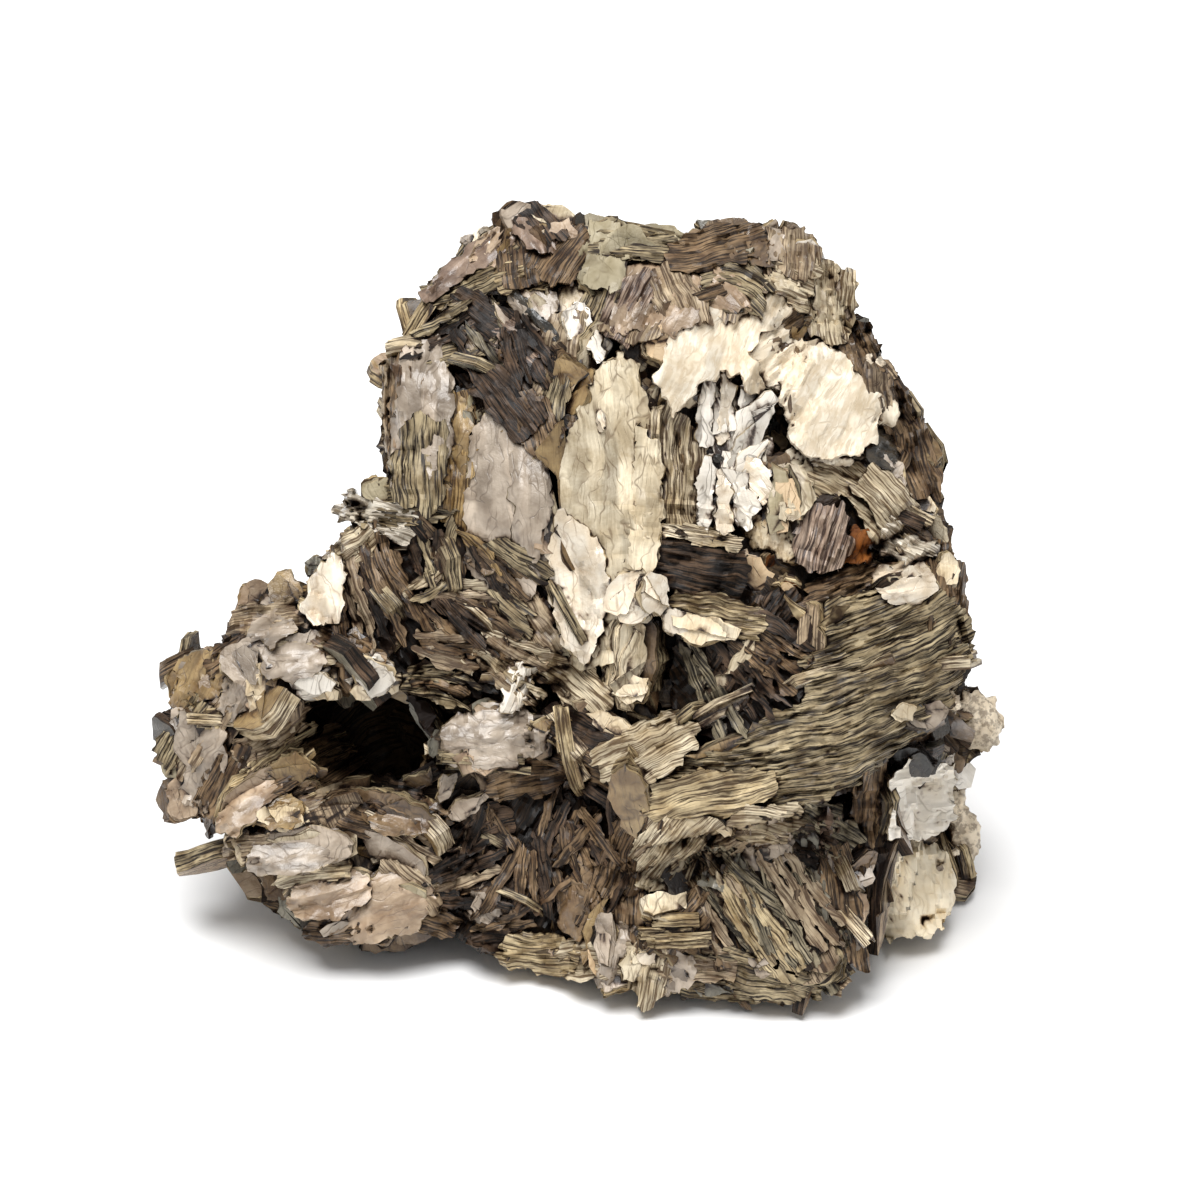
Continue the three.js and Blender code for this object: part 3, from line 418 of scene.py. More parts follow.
# Broad cleavage faces: outline (across, up), the way the grain runs, spacing and height
# of the torn steps, how far proud, face, edge, and where they aren't 0 slope upward, bow
# and slope across
CLEAVED_PLATES = [
    # the great plate in the middle, and the sheets left on it
    ([(-1.4, 57), (-4.4, 66), (-5.6, 76), (-5.6, 86), (-3, 96), (0.6, 105), (3.4, 110.4), (6.4, 113),
     (9.6, 109), (12, 99), (13.4, 86), (12.8, 76), (9.6, 68), (5, 57.6)], 92, 2.8, 0.7, 5.7, "linen",
     TAN, 0, 0.002),
    ([(-5.8, 78), (-4.4, 85), (-1.4, 83), (2.6, 79.6), (4.6, 72), (3.4, 63), (0.6, 58), (-3, 61),
     (-5.6, 69)], 97, 2.4, 0.6, 6.7, "pearl", TAN),
    ([(9.4, 101), (13.4, 95), (14, 83), (12, 73.6), (7.6, 76), (8.4, 88)], 86, 1.6, 0.6, 6.5, "linen",
     TAN),
    # upper left
    ([(-20.4, 76), (-20.4, 90), (-19, 99), (-15, 103), (-9, 102.4), (-5.4, 98), (-5, 86), (-6, 76),
     (-9, 69), (-16, 71)], 95, 3, 0.8, 5.6, "lavender", OLIVE),
    ([(-12.6, 95), (-9, 98.4), (-5.6, 95), (-5.4, 84), (-8, 75), (-11.6, 78)], 90, 2, 0.6, 6.3,
     "lavender", OLIVE),
    ([(-33, 88), (-33.4, 99), (-32.6, 109), (-29.6, 115), (-24.6, 115), (-22.4, 108), (-22.6, 97),
     (-25, 88), (-29, 84.6)], 88, 2.6, 0.8, 5.2, "lavender", OLIVE, 0, 0, 0.1),
    ([(-24.4, 86), (-23.6, 98), (-22.4, 106), (-19, 105), (-18.4, 96), (-19.6, 86), (-22, 81)], 92, 1.4,
     1.2, 4.6, "honey", BROWN, 0, 0, 0.1),
    ([(-10.6, 100), (-11, 107), (-7, 110.6), (-3, 107), (-3.6, 101)], 120, 1.6, 1, 4, "blush", DARK),
    # crown
    ([(-28.8, 124.3), (-22.4, 130.7), (-13.7, 136.1), (-9.6, 138.9), (-8.3, 137.5), (-11.9, 132.9),
     (-16, 129.3), (-22.9, 124.7), (-28.5, 121.1)], 40, 2, 0.7, 4.4, "plum", OLIVE, -0.25),
    ([(-14.6, 136.6), (-12, 139), (-8.6, 139.2), (-4, 137), (-3.4, 133), (-6, 129.6), (-10, 131)], 110,
     1.2, 1.4, 3.8, "plum", BROWN, -0.2),
    ([(-20, 129), (-18, 134), (-14.4, 136), (-12.8, 131), (-15, 127.6)], 50, 0.8, 1.6, 4.2, "blush", TAN,
     -0.2),
    ([(-9.6, 128.6), (-9, 135.6), (-6.4, 136), (-6, 129)], 84, 0.8, 1.2, 4.4, "honey", BROWN),
    ([(-0.5, 124), (-0.6, 131), (1.4, 136), (5, 137), (7.6, 133), (8, 127), (6, 123)], 80, 3, 0.9, 5,
     "sage", OLIVE, -0.25),
    ([(6, 129), (7, 134.6), (12, 133.6), (17.4, 133.8), (18, 130), (12, 128.6)], 10, 1.6, 1, 3.8, "sage",
     OLIVE, -0.3),
    ([(4, 115), (5, 121), (7.6, 127.4), (13.6, 130), (19.6, 128.6), (22, 124.6), (19.6, 116.4),
     (15.5, 114.6), (9, 115.6)], 62, 2.2, 1.3, 5.2, "blush", BROWN, -0.15, -0.008),
    ([(20.6, 124.7), (22.8, 128.8), (28.2, 129.8), (32.6, 126.6), (31.6, 122.4), (27.3, 119),
     (21.6, 118.8)], 130, 1.8, 1.2, 5.2, "blush", OLIVE, -0.15, 0.008),
    ([(14.6, 129.3), (18, 133.4), (22.8, 136.6), (28.2, 137.4), (32, 134.3), (33, 126.6), (28.2, 129),
     (22.8, 128), (18.2, 128)], 32, 2, 1.2, 4.4, "umber", OLIVE, -0.35),
    ([(30, 129), (30.6, 135.6), (35, 135.4), (40, 133), (43.4, 129.6), (40, 128), (34, 128.4)], 70, 1.2,
     1.8, 3.8, "lavender", OLIVE, -0.3),
    ([(32, 123.6), (32.4, 128.8), (37, 129.4), (40.4, 128), (40, 124.4), (36, 122.8)], 100, 2, 0.8, 5,
     "linen", TAN, -0.3),
    ([(40.6, 115), (40.4, 126.4), (43, 128), (45.6, 125.6), (45, 116), (43, 114)], 92, 1.2, 0.9, 4.4,
     "linen", OLIVE, 0, 0, -0.2),
    ([(44.4, 119), (44.2, 126), (46.4, 125.4), (46.8, 121)], 86, 1.2, 0.8, 4, "lavender", BROWN, 0, 0,
     -0.3),
    ([(36.4, 114.6), (37, 123.4), (40.6, 124), (41, 115.6)], 40, 0.9, 1.2, 4, "honey", OLIVE),
    ([(-12.4, 117), (-13, 123.6), (-8, 125), (-4, 123), (-4.6, 118), (-8, 115.6)], 120, 1.6, 0.9, 4.6,
     "lavender", TAN, -0.1),
    ([(-4.6, 117.6), (-4, 124), (0.6, 124.6), (2, 120), (0, 116)], 80, 1.6, 0.9, 4.4, "cream", TAN,
     -0.1),
    ([(-2, 121), (0.6, 121.4), (4, 112), (3, 109.4), (1, 111)], 112, 1.2, 0.7, 5.4, "silver", TAN),
    ([(-13.4, 123), (-11.6, 124), (-4, 115.4), (-5.4, 113.6)], 130, 1.2, 0.7, 5, "pitch", DARK),
    # white albite
    ([(15, 101), (12.6, 107), (14, 113), (16.8, 119), (19, 121), (23.6, 119.6), (28, 120.6), (33, 126),
     (37, 125), (38.6, 121.4), (34, 117), (28.6, 113), (31.8, 105), (28, 105.4), (24, 109), (20.6, 106)],
     70, 3, 1.2, 6.4, "crust", "crust", -0.15),
    ([(33.6, 113), (37, 116), (42, 114), (47, 110), (51.6, 104), (51, 97), (46, 94), (40, 93), (36, 96),
     (33.6, 104)], 62, 2.4, 1.1, 6, "crust", "crust", -0.15),
    ([(27, 111), (29, 116), (35, 117.4), (38, 111), (34.6, 105.6), (29.6, 106)], 40, 2.4, 1.1, 4.8,
     "crust", "crust"),
    # the white plates that fan out beside the great plate
    ([(20.6, 94.4), (19, 84), (19.6, 80.6), (22, 81), (23, 92)], 84, 1.2, 0.5, 6, "silver", TAN),
    ([(23.2, 92.6), (22.2, 82), (24, 79.6), (26, 82), (24.8, 92)], 90, 1.2, 0.5, 6.3, "pearl", TAN),
    ([(24.8, 92), (26.2, 82), (28.6, 81), (30, 84.6), (26.4, 93)], 104, 1.2, 0.5, 6, "silver", TAN),
    ([(26.4, 93.6), (30, 85), (32.6, 87), (32.4, 91), (27.4, 95.4)], 125, 1.2, 0.5, 5.6, "pearl", TAN),
    ([(19.4, 95), (19.4, 104), (20.8, 108), (22.8, 106.6), (22.6, 95.6)], 90, 1, 0.5, 5.8, "silver",
     TAN),
    ([(23.2, 96), (23.2, 106), (24.6, 109), (26.4, 106), (25.2, 96)], 88, 1.2, 0.5, 6.1, "pearl", TAN),
    ([(25.6, 96.4), (27, 106), (29, 106.6), (30.4, 102), (27.4, 96)], 72, 1.2, 0.5, 5.7, "silver", TAN),
    # right
    ([(31.4, 83), (31.2, 91), (35.6, 93.6), (39.6, 92), (39.4, 86), (36, 82.6)], 100, 1.6, 0.9, 5,
     "linen", OLIVE, -0.1),
    ([(29.6, 109), (32, 114.4), (37, 114), (38, 110.4), (33, 107.6)], 25, 1, 1, 4, "umber", BROWN),
    ([(48.6, 95), (50, 99.4), (54, 98), (56, 94), (53, 91.6), (49.6, 92)], 150, 1.4, 0.8, 4.6, "pitch",
     SLATE, 0, 0, -0.1),
    ([(45, 110), (45.4, 118), (48, 117), (50.6, 112), (49.6, 108.6)], 100, 1, 1.4, 3.8, "umber", BROWN,
     0, 0, -0.2),
    ([(48, 104), (48.6, 111), (52, 109.6), (55, 104.4), (53, 101)], 100, 1, 1.8, 3.8, "bark", BROWN, 0,
     0, -0.2),
    ([(44.4, 75.4), (46, 82.6), (51, 80), (49.4, 75)], 60, 1, 1.4, 4, "rust", BROWN),
    ([(49.6, 69.4), (50.6, 75), (55, 76), (59.8, 74.4), (60, 70), (55, 68.4)], 12, 1.4, 1, 5.4, "pearl",
     TAN),
    # lower right
    ([(27.6, 24), (28, 31), (32, 33.6), (36, 31), (35.6, 25.6), (31.6, 23)], 100, 1.6, 0.9, 5.2,
     "lavender", OLIVE),
    ([(20, 20.6), (20.6, 27.6), (26, 27), (29.6, 22), (26, 19)], 60, 1.4, 1, 4.2, "slate", OLIVE, -0.2),
    ([(31.6, 18.6), (32.4, 25), (38, 26.4), (41.6, 22), (38, 18)], 80, 1.4, 1, 4.2, "slate", DARK, -0.2),
    ([(36.4, 26), (37, 33.6), (43, 34.6), (45, 29), (42, 25)], 80, 1.2, 1.2, 4.2, "plum", DARK, -0.2),
    ([(9.6, 20.6), (18.6, 30.4), (21.4, 28.4), (12.4, 18.6)], 46, 1.4, 0.7, 5.4, "linen", TAN),
    ([(12.6, 3), (12.8, 8.6), (16, 10), (19.4, 8.4), (19, 3.6), (16, 2)], 90, 2, 0.7, 5.2, "lavender",
     TAN),
    ([(2, 3.4), (2.4, 13), (6, 14.6), (10, 12), (9, 5), (5, 3.4)], 80, 1.1, 1.6, 4.6, "lavender", TAN),
    # middle
    ([(-24.6, 42), (-24, 48), (-18, 51.6), (-10, 51.4), (-5.6, 48.4), (-6, 43.6), (-12, 40.4),
     (-19, 40)], 4, 1.6, 0.9, 5.4, "lavender", OLIVE, -0.2),
    ([(-14.6, 49.8), (-12.4, 59), (-8.4, 57.4), (-10.4, 49.4)], 70, 1.2, 0.6, 6.2, "silver", CREAM),
    ([(-4.6, 12), (-4, 19), (-0.6, 25.4), (3, 20), (3.4, 13), (0, 10.6)], 85, 1.2, 0.8, 4.6, "umber",
     DARK),
    ([(-13.4, 7), (-12, 11.6), (-7, 12), (-4.6, 9), (-7, 5.6)], 10, 1.4, 0.7, 4.4, "blush", BROWN),
    ([(-20.4, 13), (-19.6, 19), (-15, 19.4), (-13.6, 14)], 80, 1.4, 0.8, 4.2, "lavender", BROWN),
    # left
    ([(-64, 30), (-61, 36), (-55, 41.4), (-47, 45.4), (-44.6, 42.4), (-50, 38), (-55, 33), (-60, 28.6)],
     36, 1.1, 1, 5.5, "blush", TAN, -0.5, 0.01),
    ([(-57, 30), (-56, 34.8), (-51, 36), (-47.6, 33), (-50, 29.6)], 10, 1.2, 1, 6.5, "honey", HONEY,
     -0.5),
    ([(-58, 23), (-57, 29), (-50, 32), (-42, 31), (-40, 26.6), (-46, 23), (-52, 21.6)], 8, 1.2, 0.9, 6.1,
     "lavender", CREAM, -0.5, 0.01),
    ([(-51.6, 15), (-50, 21), (-43, 23.6), (-36.6, 22), (-37, 17.6), (-43, 14)], 14, 1.4, 0.7, 6.1,
     "blush", CREAM, -0.5, 0.01),
    ([(-45, 12), (-41, 18), (-33, 23.6), (-27, 22.6), (-25.4, 17), (-29, 11.6), (-37, 9.6)], 22, 1.6,
     0.8, 5.2, "blush", TAN, -0.1, -0.01),
    ([(-48.6, 67), (-47.6, 74), (-44, 77.6), (-41, 74.6), (-41.4, 67.6), (-44.6, 64.4)], 100, 1.6, 0.6,
     7.2, "pearl", TAN, 0, 0, -0.1),
    ([(-58.6, 62), (-57, 67.2), (-51, 68.6), (-49.6, 64), (-53, 61.4)], 8, 1.4, 0.8, 5.3, "lavender",
     TAN, -0.5),
    ([(-55.6, 56), (-54.6, 62), (-47, 63), (-43.6, 58.4), (-48, 55)], 5, 1.4, 0.8, 5.7, "lavender", TAN,
     -0.5),
    ([(-73.4, 50.6), (-72, 57.4), (-68, 61), (-63.4, 60), (-64, 53), (-68, 50)], 60, 1.4, 0.8, 4.4,
     "honey", OLIVE, 0, 0, 0.1),
    ([(-63.6, 49), (-62.4, 58), (-58, 62.6), (-55.6, 60), (-57.4, 52), (-60, 48)], 65, 1.4, 0.8, 4.8,
     "lavender", TAN, 0, 0.01),
    ([(-57.8, 47), (-57, 57.6), (-54, 58.6), (-53, 52), (-51, 48.6), (-54, 46)], 95, 1.2, 0.7, 5.4,
     "cream", CREAM),
    ([(-70.6, 33), (-69.4, 42), (-65, 48.6), (-62, 47), (-62.4, 40), (-65, 33.6), (-68, 31)], 70, 1.4,
     0.9, 4.8, "lavender", BROWN, 0, 0, 0.1),
    ([(-49.4, 53), (-49, 57), (-44, 57.6), (-42, 54.6), (-45, 52.4)], 4, 1, 0.8, 5.4, "silver", CREAM,
     -0.1),
    ([(-40.6, 53.6), (-40, 59.6), (-35, 60.6), (-31.6, 57), (-34, 53)], 140, 1, 1, 5.4, "silver", CREAM,
     -0.1),
    ([(-38.6, 30.6), (-37, 36.4), (-28, 35), (-21.6, 31.6), (-25, 29.4), (-33, 29)], 166, 1.2, 0.8, 5.7,
     "umber", TAN, -0.5),
    # right outgrowth; its upper plate takes the whiter silver of painted reflection
    ([(52.4, 28), (52.4, 40), (57, 42), (65.6, 40), (66.4, 30), (61, 27.6)], 4, 1.6, 0.6, 8.6, "snow",
     CREAM, -0.4),
    ([(51.6, 13), (51.4, 22), (53, 27), (59, 27.6), (65.6, 23), (66.4, 15.6), (61.4, 10), (54, 9.6)], 90,
     3, 0.7, 7.5, "ivory", "ivory", -0.35),
]
# Broad patches of sheets seen edge-on: outline (across, up), the way the lines run,
# spacing of the sheets, relief, how far proud, finish, and where they aren't 0 slope
# upward, bow and slope across
RULED_PATCHES = [
    ([(8.4, 29), (8.8, 43.5), (26, 45.5), (30, 50), (36.6, 52), (37.4, 62), (41, 69.4), (52, 71.5),
     (60, 71.5), (67, 66), (66, 58), (62.5, 50), (57, 46), (50.5, 40.6), (40, 35.6), (30, 31),
     (14, 27.4)], 15, 0.62, 1.5, 3.8, OLIVE, 0.05, 0.0042),
    ([(34, 66), (38, 71.6), (46, 75.6), (55, 76), (58, 71), (48, 66)], 20, 0.8, 1.6, 3, BROWN),
    ([(5.4, 72.6), (8, 78), (12, 81.4), (26.4, 78.8), (29, 73.4), (27, 69.6), (14, 70.4), (7, 70.4)],
     -10, 0.9, 2, 4.6, DARK, 0.1, 0.001),
    ([(10.8, 80.4), (11.6, 82.8), (22, 81.8), (27.6, 79.6), (27, 77.4), (18, 79)], -9, 0.6, 1, 5.4,
     CREAM, -0.1),
    ([(13.6, 70.2), (22, 70.6), (31, 67.6), (30, 61.8), (22, 63.6), (14, 66)], -7, 0.55, 1.2, 5, TAN),
    ([(11.2, 103), (14.8, 104), (20.6, 98), (22.6, 84), (20, 80.2), (12.4, 80.6), (10.2, 92)], 87, 0.9,
     1.8, 4.4, CREAM),
    ([(20.4, 84), (20.6, 96), (19, 104), (24, 108), (30, 101), (32, 92), (29.4, 83.6), (24, 82)], 84,
     1.3, 1.3, 4.4, SILVER, 0, 0.006),
    ([(35.6, 75.6), (38, 85.4), (44.6, 86), (46.6, 78.6), (43, 73.6)], 75, 0.62, 0.9, 5, PLUM, 0, 0,
     0.15),
    ([(45.2, 16.6), (45, 41), (51.6, 42.6), (50.6, 30), (48.4, 20)], 90, 0.9, 2.4, 3, BROWN, 0, 0, -0.2),
    ([(19.6, 50), (21.6, 60), (27, 67.6), (36, 73), (37.6, 64), (31, 54), (25, 49)], 59, 0.8, 2.2, 3,
     DARK),
    ([(21.8, 21), (25.6, 25), (37.6, 8.6), (35.6, 3.4), (30.4, 6.4)], 122, 0.7, 1.4, 5.4, TAN),
    ([(33, 20), (36.4, 25), (44.6, 22), (46.4, 11), (41, 4), (38, 8)], 112, 0.9, 2.2, 3.6, SLATE),
    ([(17, 1), (17, 8.6), (25, 9.4), (33, 8.6), (44, 9), (45.6, 5), (40, 1.4), (28, 0.4)], -6, 0.7, 1.4,
     3.6, OLIVE, 0.3),
    ([(-41, 84.6), (-36.4, 89.6), (-28, 91), (-20, 89), (-18.4, 85.6), (-25, 82.6), (-35, 81.4)], -5,
     0.6, 1.6, 3.8, OLIVE, -0.3, -0.002),
    ([(-16, 123.4), (-15, 127.4), (-8, 130.4), (-2, 130.4), (0, 127), (-8, 123.4)], 8, 0.5, 1, 4.2, TAN,
     -0.2),
    ([(2.6, 115.4), (5.4, 123), (8.6, 129.6), (13, 130.4), (20, 124.6), (21.4, 118), (16, 114.6),
     (8, 113.4)], 83, 0.9, 1, 4.6, FAWN, -0.34, 0.012),
    ([(22, 119), (22.6, 125), (25, 129), (28, 126), (30, 121), (26.6, 117), (24, 117)], 84, 0.8, 0.9,
     4.8, FAWN, -0.3, 0.01),
    ([(31, 93.6), (36, 94.6), (46, 93.6), (54, 88), (58, 82), (56.6, 77.6), (50, 79), (45.6, 87),
     (38, 87), (34, 82.6), (31.6, 86)], -34, 0.7, 1.7, 4, LINEN, -0.1, -0.014),
    ([(58.4, 64), (58, 78), (62.6, 80), (66, 75), (66.4, 64), (62, 61)], 82, 0.8, 1.6, 3.6, BROWN, 0,
     -0.01, -0.2),
    ([(20.6, 8), (16.6, 20), (20, 25), (24.4, 22), (28.6, 10), (24, 7.6)], 104, 0.9, 2, 3.4, BROWN),
    ([(5.6, 18.6), (6, 28), (10.4, 28.4), (13.6, 22), (12, 17.6)], 88, 0.9, 2, 3.2, BROWN),
    ([(-20, 103), (-22, 108), (-16, 115), (-6, 119), (0, 112), (-1, 104), (-6, 99.4), (-13, 101)], 130,
     1.1, 3, 2.6, DARK, 0, 0.004),
    ([(-23, 105), (-25, 90), (-20, 87), (-18.4, 99), (-19, 104)], 92, 0.9, 1.6, 3.4, HONEY),
    ([(-36, 110), (-34.6, 92), (-29, 90), (-27, 99), (-31, 113)], 90, 0.9, 1.8, 2.8, FAWN, 0, 0, 0.3),
]
UPPER_RIGHT = [
    (35.2, 111.6, 3, 10, 4.6, 3, 20, -30, "umber", OLIVE),
    (34, 108.4, 3, 5, 2.4, 2, 14, "flake", "honey", TAN),
    (36.8, 103.4, 5, 2.4, 5, 2, -6, "flake", "umber", BROWN),
    (44, 100.2, 5.4, 2, 4.4, 2, 10, "flake", "rust", TAN),
    (32.4, 100, 2.4, 4, 6, 3, 10, 0, 20, "book", "pitch", DARK),
    (33, 91, 3, 6, 6, 3, 40, "umber", BROWN),
    (52.4, 95.4, 3.4, 8.5, 7.4, 3, -32, 0, -10, "pitch", "slate"),
    (52, 91, 3.6, 8, 6, 3, -30, -10, "lavender", TAN),
    (41, 85.6, 4.6, 6, 2.4, 3, 4, -30, "flake", "sage", OLIVE),
    (55, 83, 4, 3, 12, 3, 58, 0, 35, "blade", "umber", DARK),
    (56.5, 81, 4.4, 2.6, 12, 3, 56, 0, 35, "blade", "bark", CREAM),
    (61.7, 72.6, 4, 4.6, 9, 3, -4, 0, 20, "cream", TAN),
    (58.5, 85.5, 4, 7, 4, 3, -24, "flake", "cream", TAN),
    (61, 81, 4, 5, 6, 3, 20, "flake", "linen", TAN),
    (60.8, 84.6, 3, 4, 5, 3, 0, 0, 20, "flake", "umber", BROWN),
    (52.4, 77, 4, 7, 3, 3, 10, "flake", "linen", TAN),
    (48.5, 71.4, 3.4, 5, 4, 3, 10, "flake", "sage", OLIVE),
]
LOWER_RIGHT = [
    (32, 29, 4.6, 7.6, 7.4, 3, 10, "lavender", CREAM),
    (27, 27.6, 4, 14, 4.4, 2.4, -24, 10, "linen", TAN),
    (22.6, 32.4, 4, 3, 6, 2, 42, "flake", "cream", TAN),
    (26, 31.4, 3, 3, 8, 3, 0, 0, 40, "book", "pitch", DARK),
    (38.6, 32, 3, 6, 6, 3, 10, "blush", DARK),
    (38, 26, 2.4, 6, 8, 4, 8, "book", "slate", DARK),
    (43, 31.6, 3.4, 8, 5, 4, -10, 10, "ruled", BROWN),
    (36, 22.4, 3.4, 9, 8, 4, -8, -6, "book", "slate", OLIVE),
    (42.4, 24.6, 3.6, 4, 7, 3, -12, "lavender", DARK),
    (22.6, 24.6, 2.6, 9, 7, 4, -6, -10, "slate", OLIVE),
    (27.2, 21, 3, 7, 5, 3, -30, -20, "umber", BROWN),
    (37, 13.4, 4.4, 4, 15, 4, 6, 0, 20, "book", "bark", BROWN),
    (40.6, 14.4, 4, 4, 16, 4, -4, 0, -30, "book", "slate", DARK),
    (22, 12, 4, 3, 13, 3, 14, 0, 35, "book", "umber", DARK),
    (46.4, 16.8, 4, 5, 7, 3, 12, 0, 6, "blush", BROWN),
    (45.2, 11.6, 4, 5.4, 5, 3, -20, "lavender", BROWN),
    (40.4, 7, 4, 9, 7, 4, 30, -20, "disc", "bark", OLIVE),
    (30.4, 8, 5, 5, 5, 3, 30, 0, 10, "lavender", TAN),
    (22.4, 3.8, 3, 7, 4, 4, -14, 20, "slate", TAN),
    (14.6, 24.2, 5, 3.8, 12, 3, -46, "linen", CREAM),
    (11.6, 24.6, 3.6, 3, 10, 3, -34, 0, 30, "bark", BROWN),
    (8.8, 25, 3, 4, 10, 3, 6, 0, -20, "umber", BROWN),
    (17.4, 20.6, 3.6, 4.6, 9, 3, 8, 0, 30, "bark", OLIVE),
    (12.6, 19.4, 3.4, 6, 4, 3, 10, "flake", "honey", BROWN),
    (15, 16.7, 5.4, 10.4, 5, 1.8, -3, -30, "linen", TAN),
    (16.2, 6.3, 4.6, 5.6, 7, 2, 12, "disc", "lavender", CREAM),
    (19.8, 7.6, 4, 2.6, 4.6, 2, 0, "flake", "silver", TAN),
    (11, 9, 4.4, 8, 4, 3, 6, -10, "pearl", TAN),
    (4.4, 11.4, 5, 4, 9, 3, 6, 0, -12, "lavender", TAN),
    (8.4, 7.8, 4.6, 4, 7, 3, -24, 0, 10, "linen", TAN),
    (6.6, 3.9, 3, 8, 3.6, 3, 22, -20, "lavender", TAN),
    (8.6, 13, 4.4, 4.4, 4.2, 2, 0, "umber", BROWN),
    (2.6, 7, 3.6, 3, 6, 2, 20, "flake", "peach", BROWN),
]
MIDDLE_LEFT = [
    (-14.6, 38, 3, 9, 6, 3, -14, "blush", BROWN),
    (-20, 33.6, 4.4, 7.4, 4, 2, 30, "flake", "lavender", CREAM),
    (-23.6, 37, 4, 3, 5, 2, -24, "flake", "lavender", TAN),
    # a small pearl flake where a highlight shines: painted highlight
    (-7.6, 40.3, 4.4, 2.6, 1.8, 1.2, 0, "flake", "pearl", CREAM),
    (-4.4, 38, 3.4, 3, 8, 2, -46, 0, 20, "flake", "slate", OLIVE),
    (-15.6, 49.8, 4.8, 7, 2.4, 2, 14, 20, "flake", "umber", TAN),
    (-7.6, 55.6, 4, 3.4, 10, 2, -4, 0, 40, "umber", OLIVE),
    (5.2, 48, 5.4, 8, 4, 2, -28, 20, "flake", "cream", CREAM),
    (10, 48.8, 5, 6, 4.6, 2, -10, 10, "flake", "blush", TAN),
    (14.6, 48, 4, 6, 5, 2.4, 20, "flake", "umber", OLIVE),
    (3, 41.4, 4, 9, 3, 2, -6, 30, "flake", "umber", TAN),
    (-1.6, 45, 4.4, 4, 13, 2, 40, 0, 50, "blade", "umber", CREAM),
    (-4, 63, 4, 11, 6, 2.4, -6, -10, "sage", TAN),
    (-1.2, 57, 3.4, 12, 3, 2.4, -40, 50, "blade", "honey", CREAM),
    (-3.4, 54.4, 3.2, 12, 3, 2.4, -36, 50, "blade", "umber", CREAM),
    (-27, 49, 4, 4, 12, 2, 26, 0, -30, "slate", OLIVE),
    (-25.4, 44.6, 4, 2.4, 5, 2, -20, "flake", "slate", "slate"),
    (-24, 52.4, 4, 9, 5, 2, -34, 20, "flake", "sage", TAN),
    (-20.4, 55.8, 4.2, 10, 4, 2, 16, 40, "flake", "honey", CREAM),
    (-20, 53.6, 4.6, 9, 3, 2, 24, 40, "flake", "umber", CREAM),
]
BLADES = [
    (-25, 76.4, 5, 4, 9.4, 1, 2, 0, 78, "blade", "cream", CREAM),
    (-21.4, 74.6, 4.6, 4, 9, 1, 32, 0, 70, "blade", "umber", TAN),
    (-20.4, 71.2, 4.6, 10, 5, 1, -4, 78, "blade", "sage", CREAM),
    (-17, 73.4, 4, 3, 7, 1, 24, 0, 60, "blade", "honey", TAN),
    (-20, 67.4, 5.4, 17, 6, 1.2, -30, 72, "blade", "umber", CREAM),
    (-18.6, 65, 5, 18, 6, 1.2, -31, 72, "blade", "umber", CREAM),
    (-16.4, 67.6, 4.2, 12, 6, 1.2, -34, 72, "blade", "rust", TAN),
    (-13.6, 62.4, 4, 14, 6, 1.2, -30, 72, "blade", "umber", BROWN),
    (-22, 62, 4.4, 13, 6, 1, -8, 76, "blade", "slate", OLIVE),
    (-17.4, 61.4, 4, 4, 8, 1, 22, 0, 72, "blade", "honey", TAN),
    (-15.8, 77.2, 4.6, 8, 9, 3, -18, -8, -20, "umber", OLIVE),
    (-9.2, 76, 4.4, 3, 13, 1.4, 42, 0, 60, "blade", "slate", CREAM),
    (-11.4, 74, 4, 3, 12, 1.4, 40, 0, 60, "blade", "umber", OLIVE),
    (-27.4, 71.6, 5.4, 6.4, 6, 3.4, 24, 50, -10, "ledge", "sage", OLIVE),
    (-24.4, 88.2, 3.6, 10, 5, 3, -6, 40, "honey", OLIVE),
    (-35.4, 88, 3, 6, 7, 2, 30, 20, -10, "sage", TAN),
    (-37.4, 83.4, 3, 4, 6, 1.4, -30, 10, "blade", "cream", TAN),
    (-29.6, 81.6, 4.4, 7, 4, 1.2, -36, 60, "blade", "linen", CREAM),
]
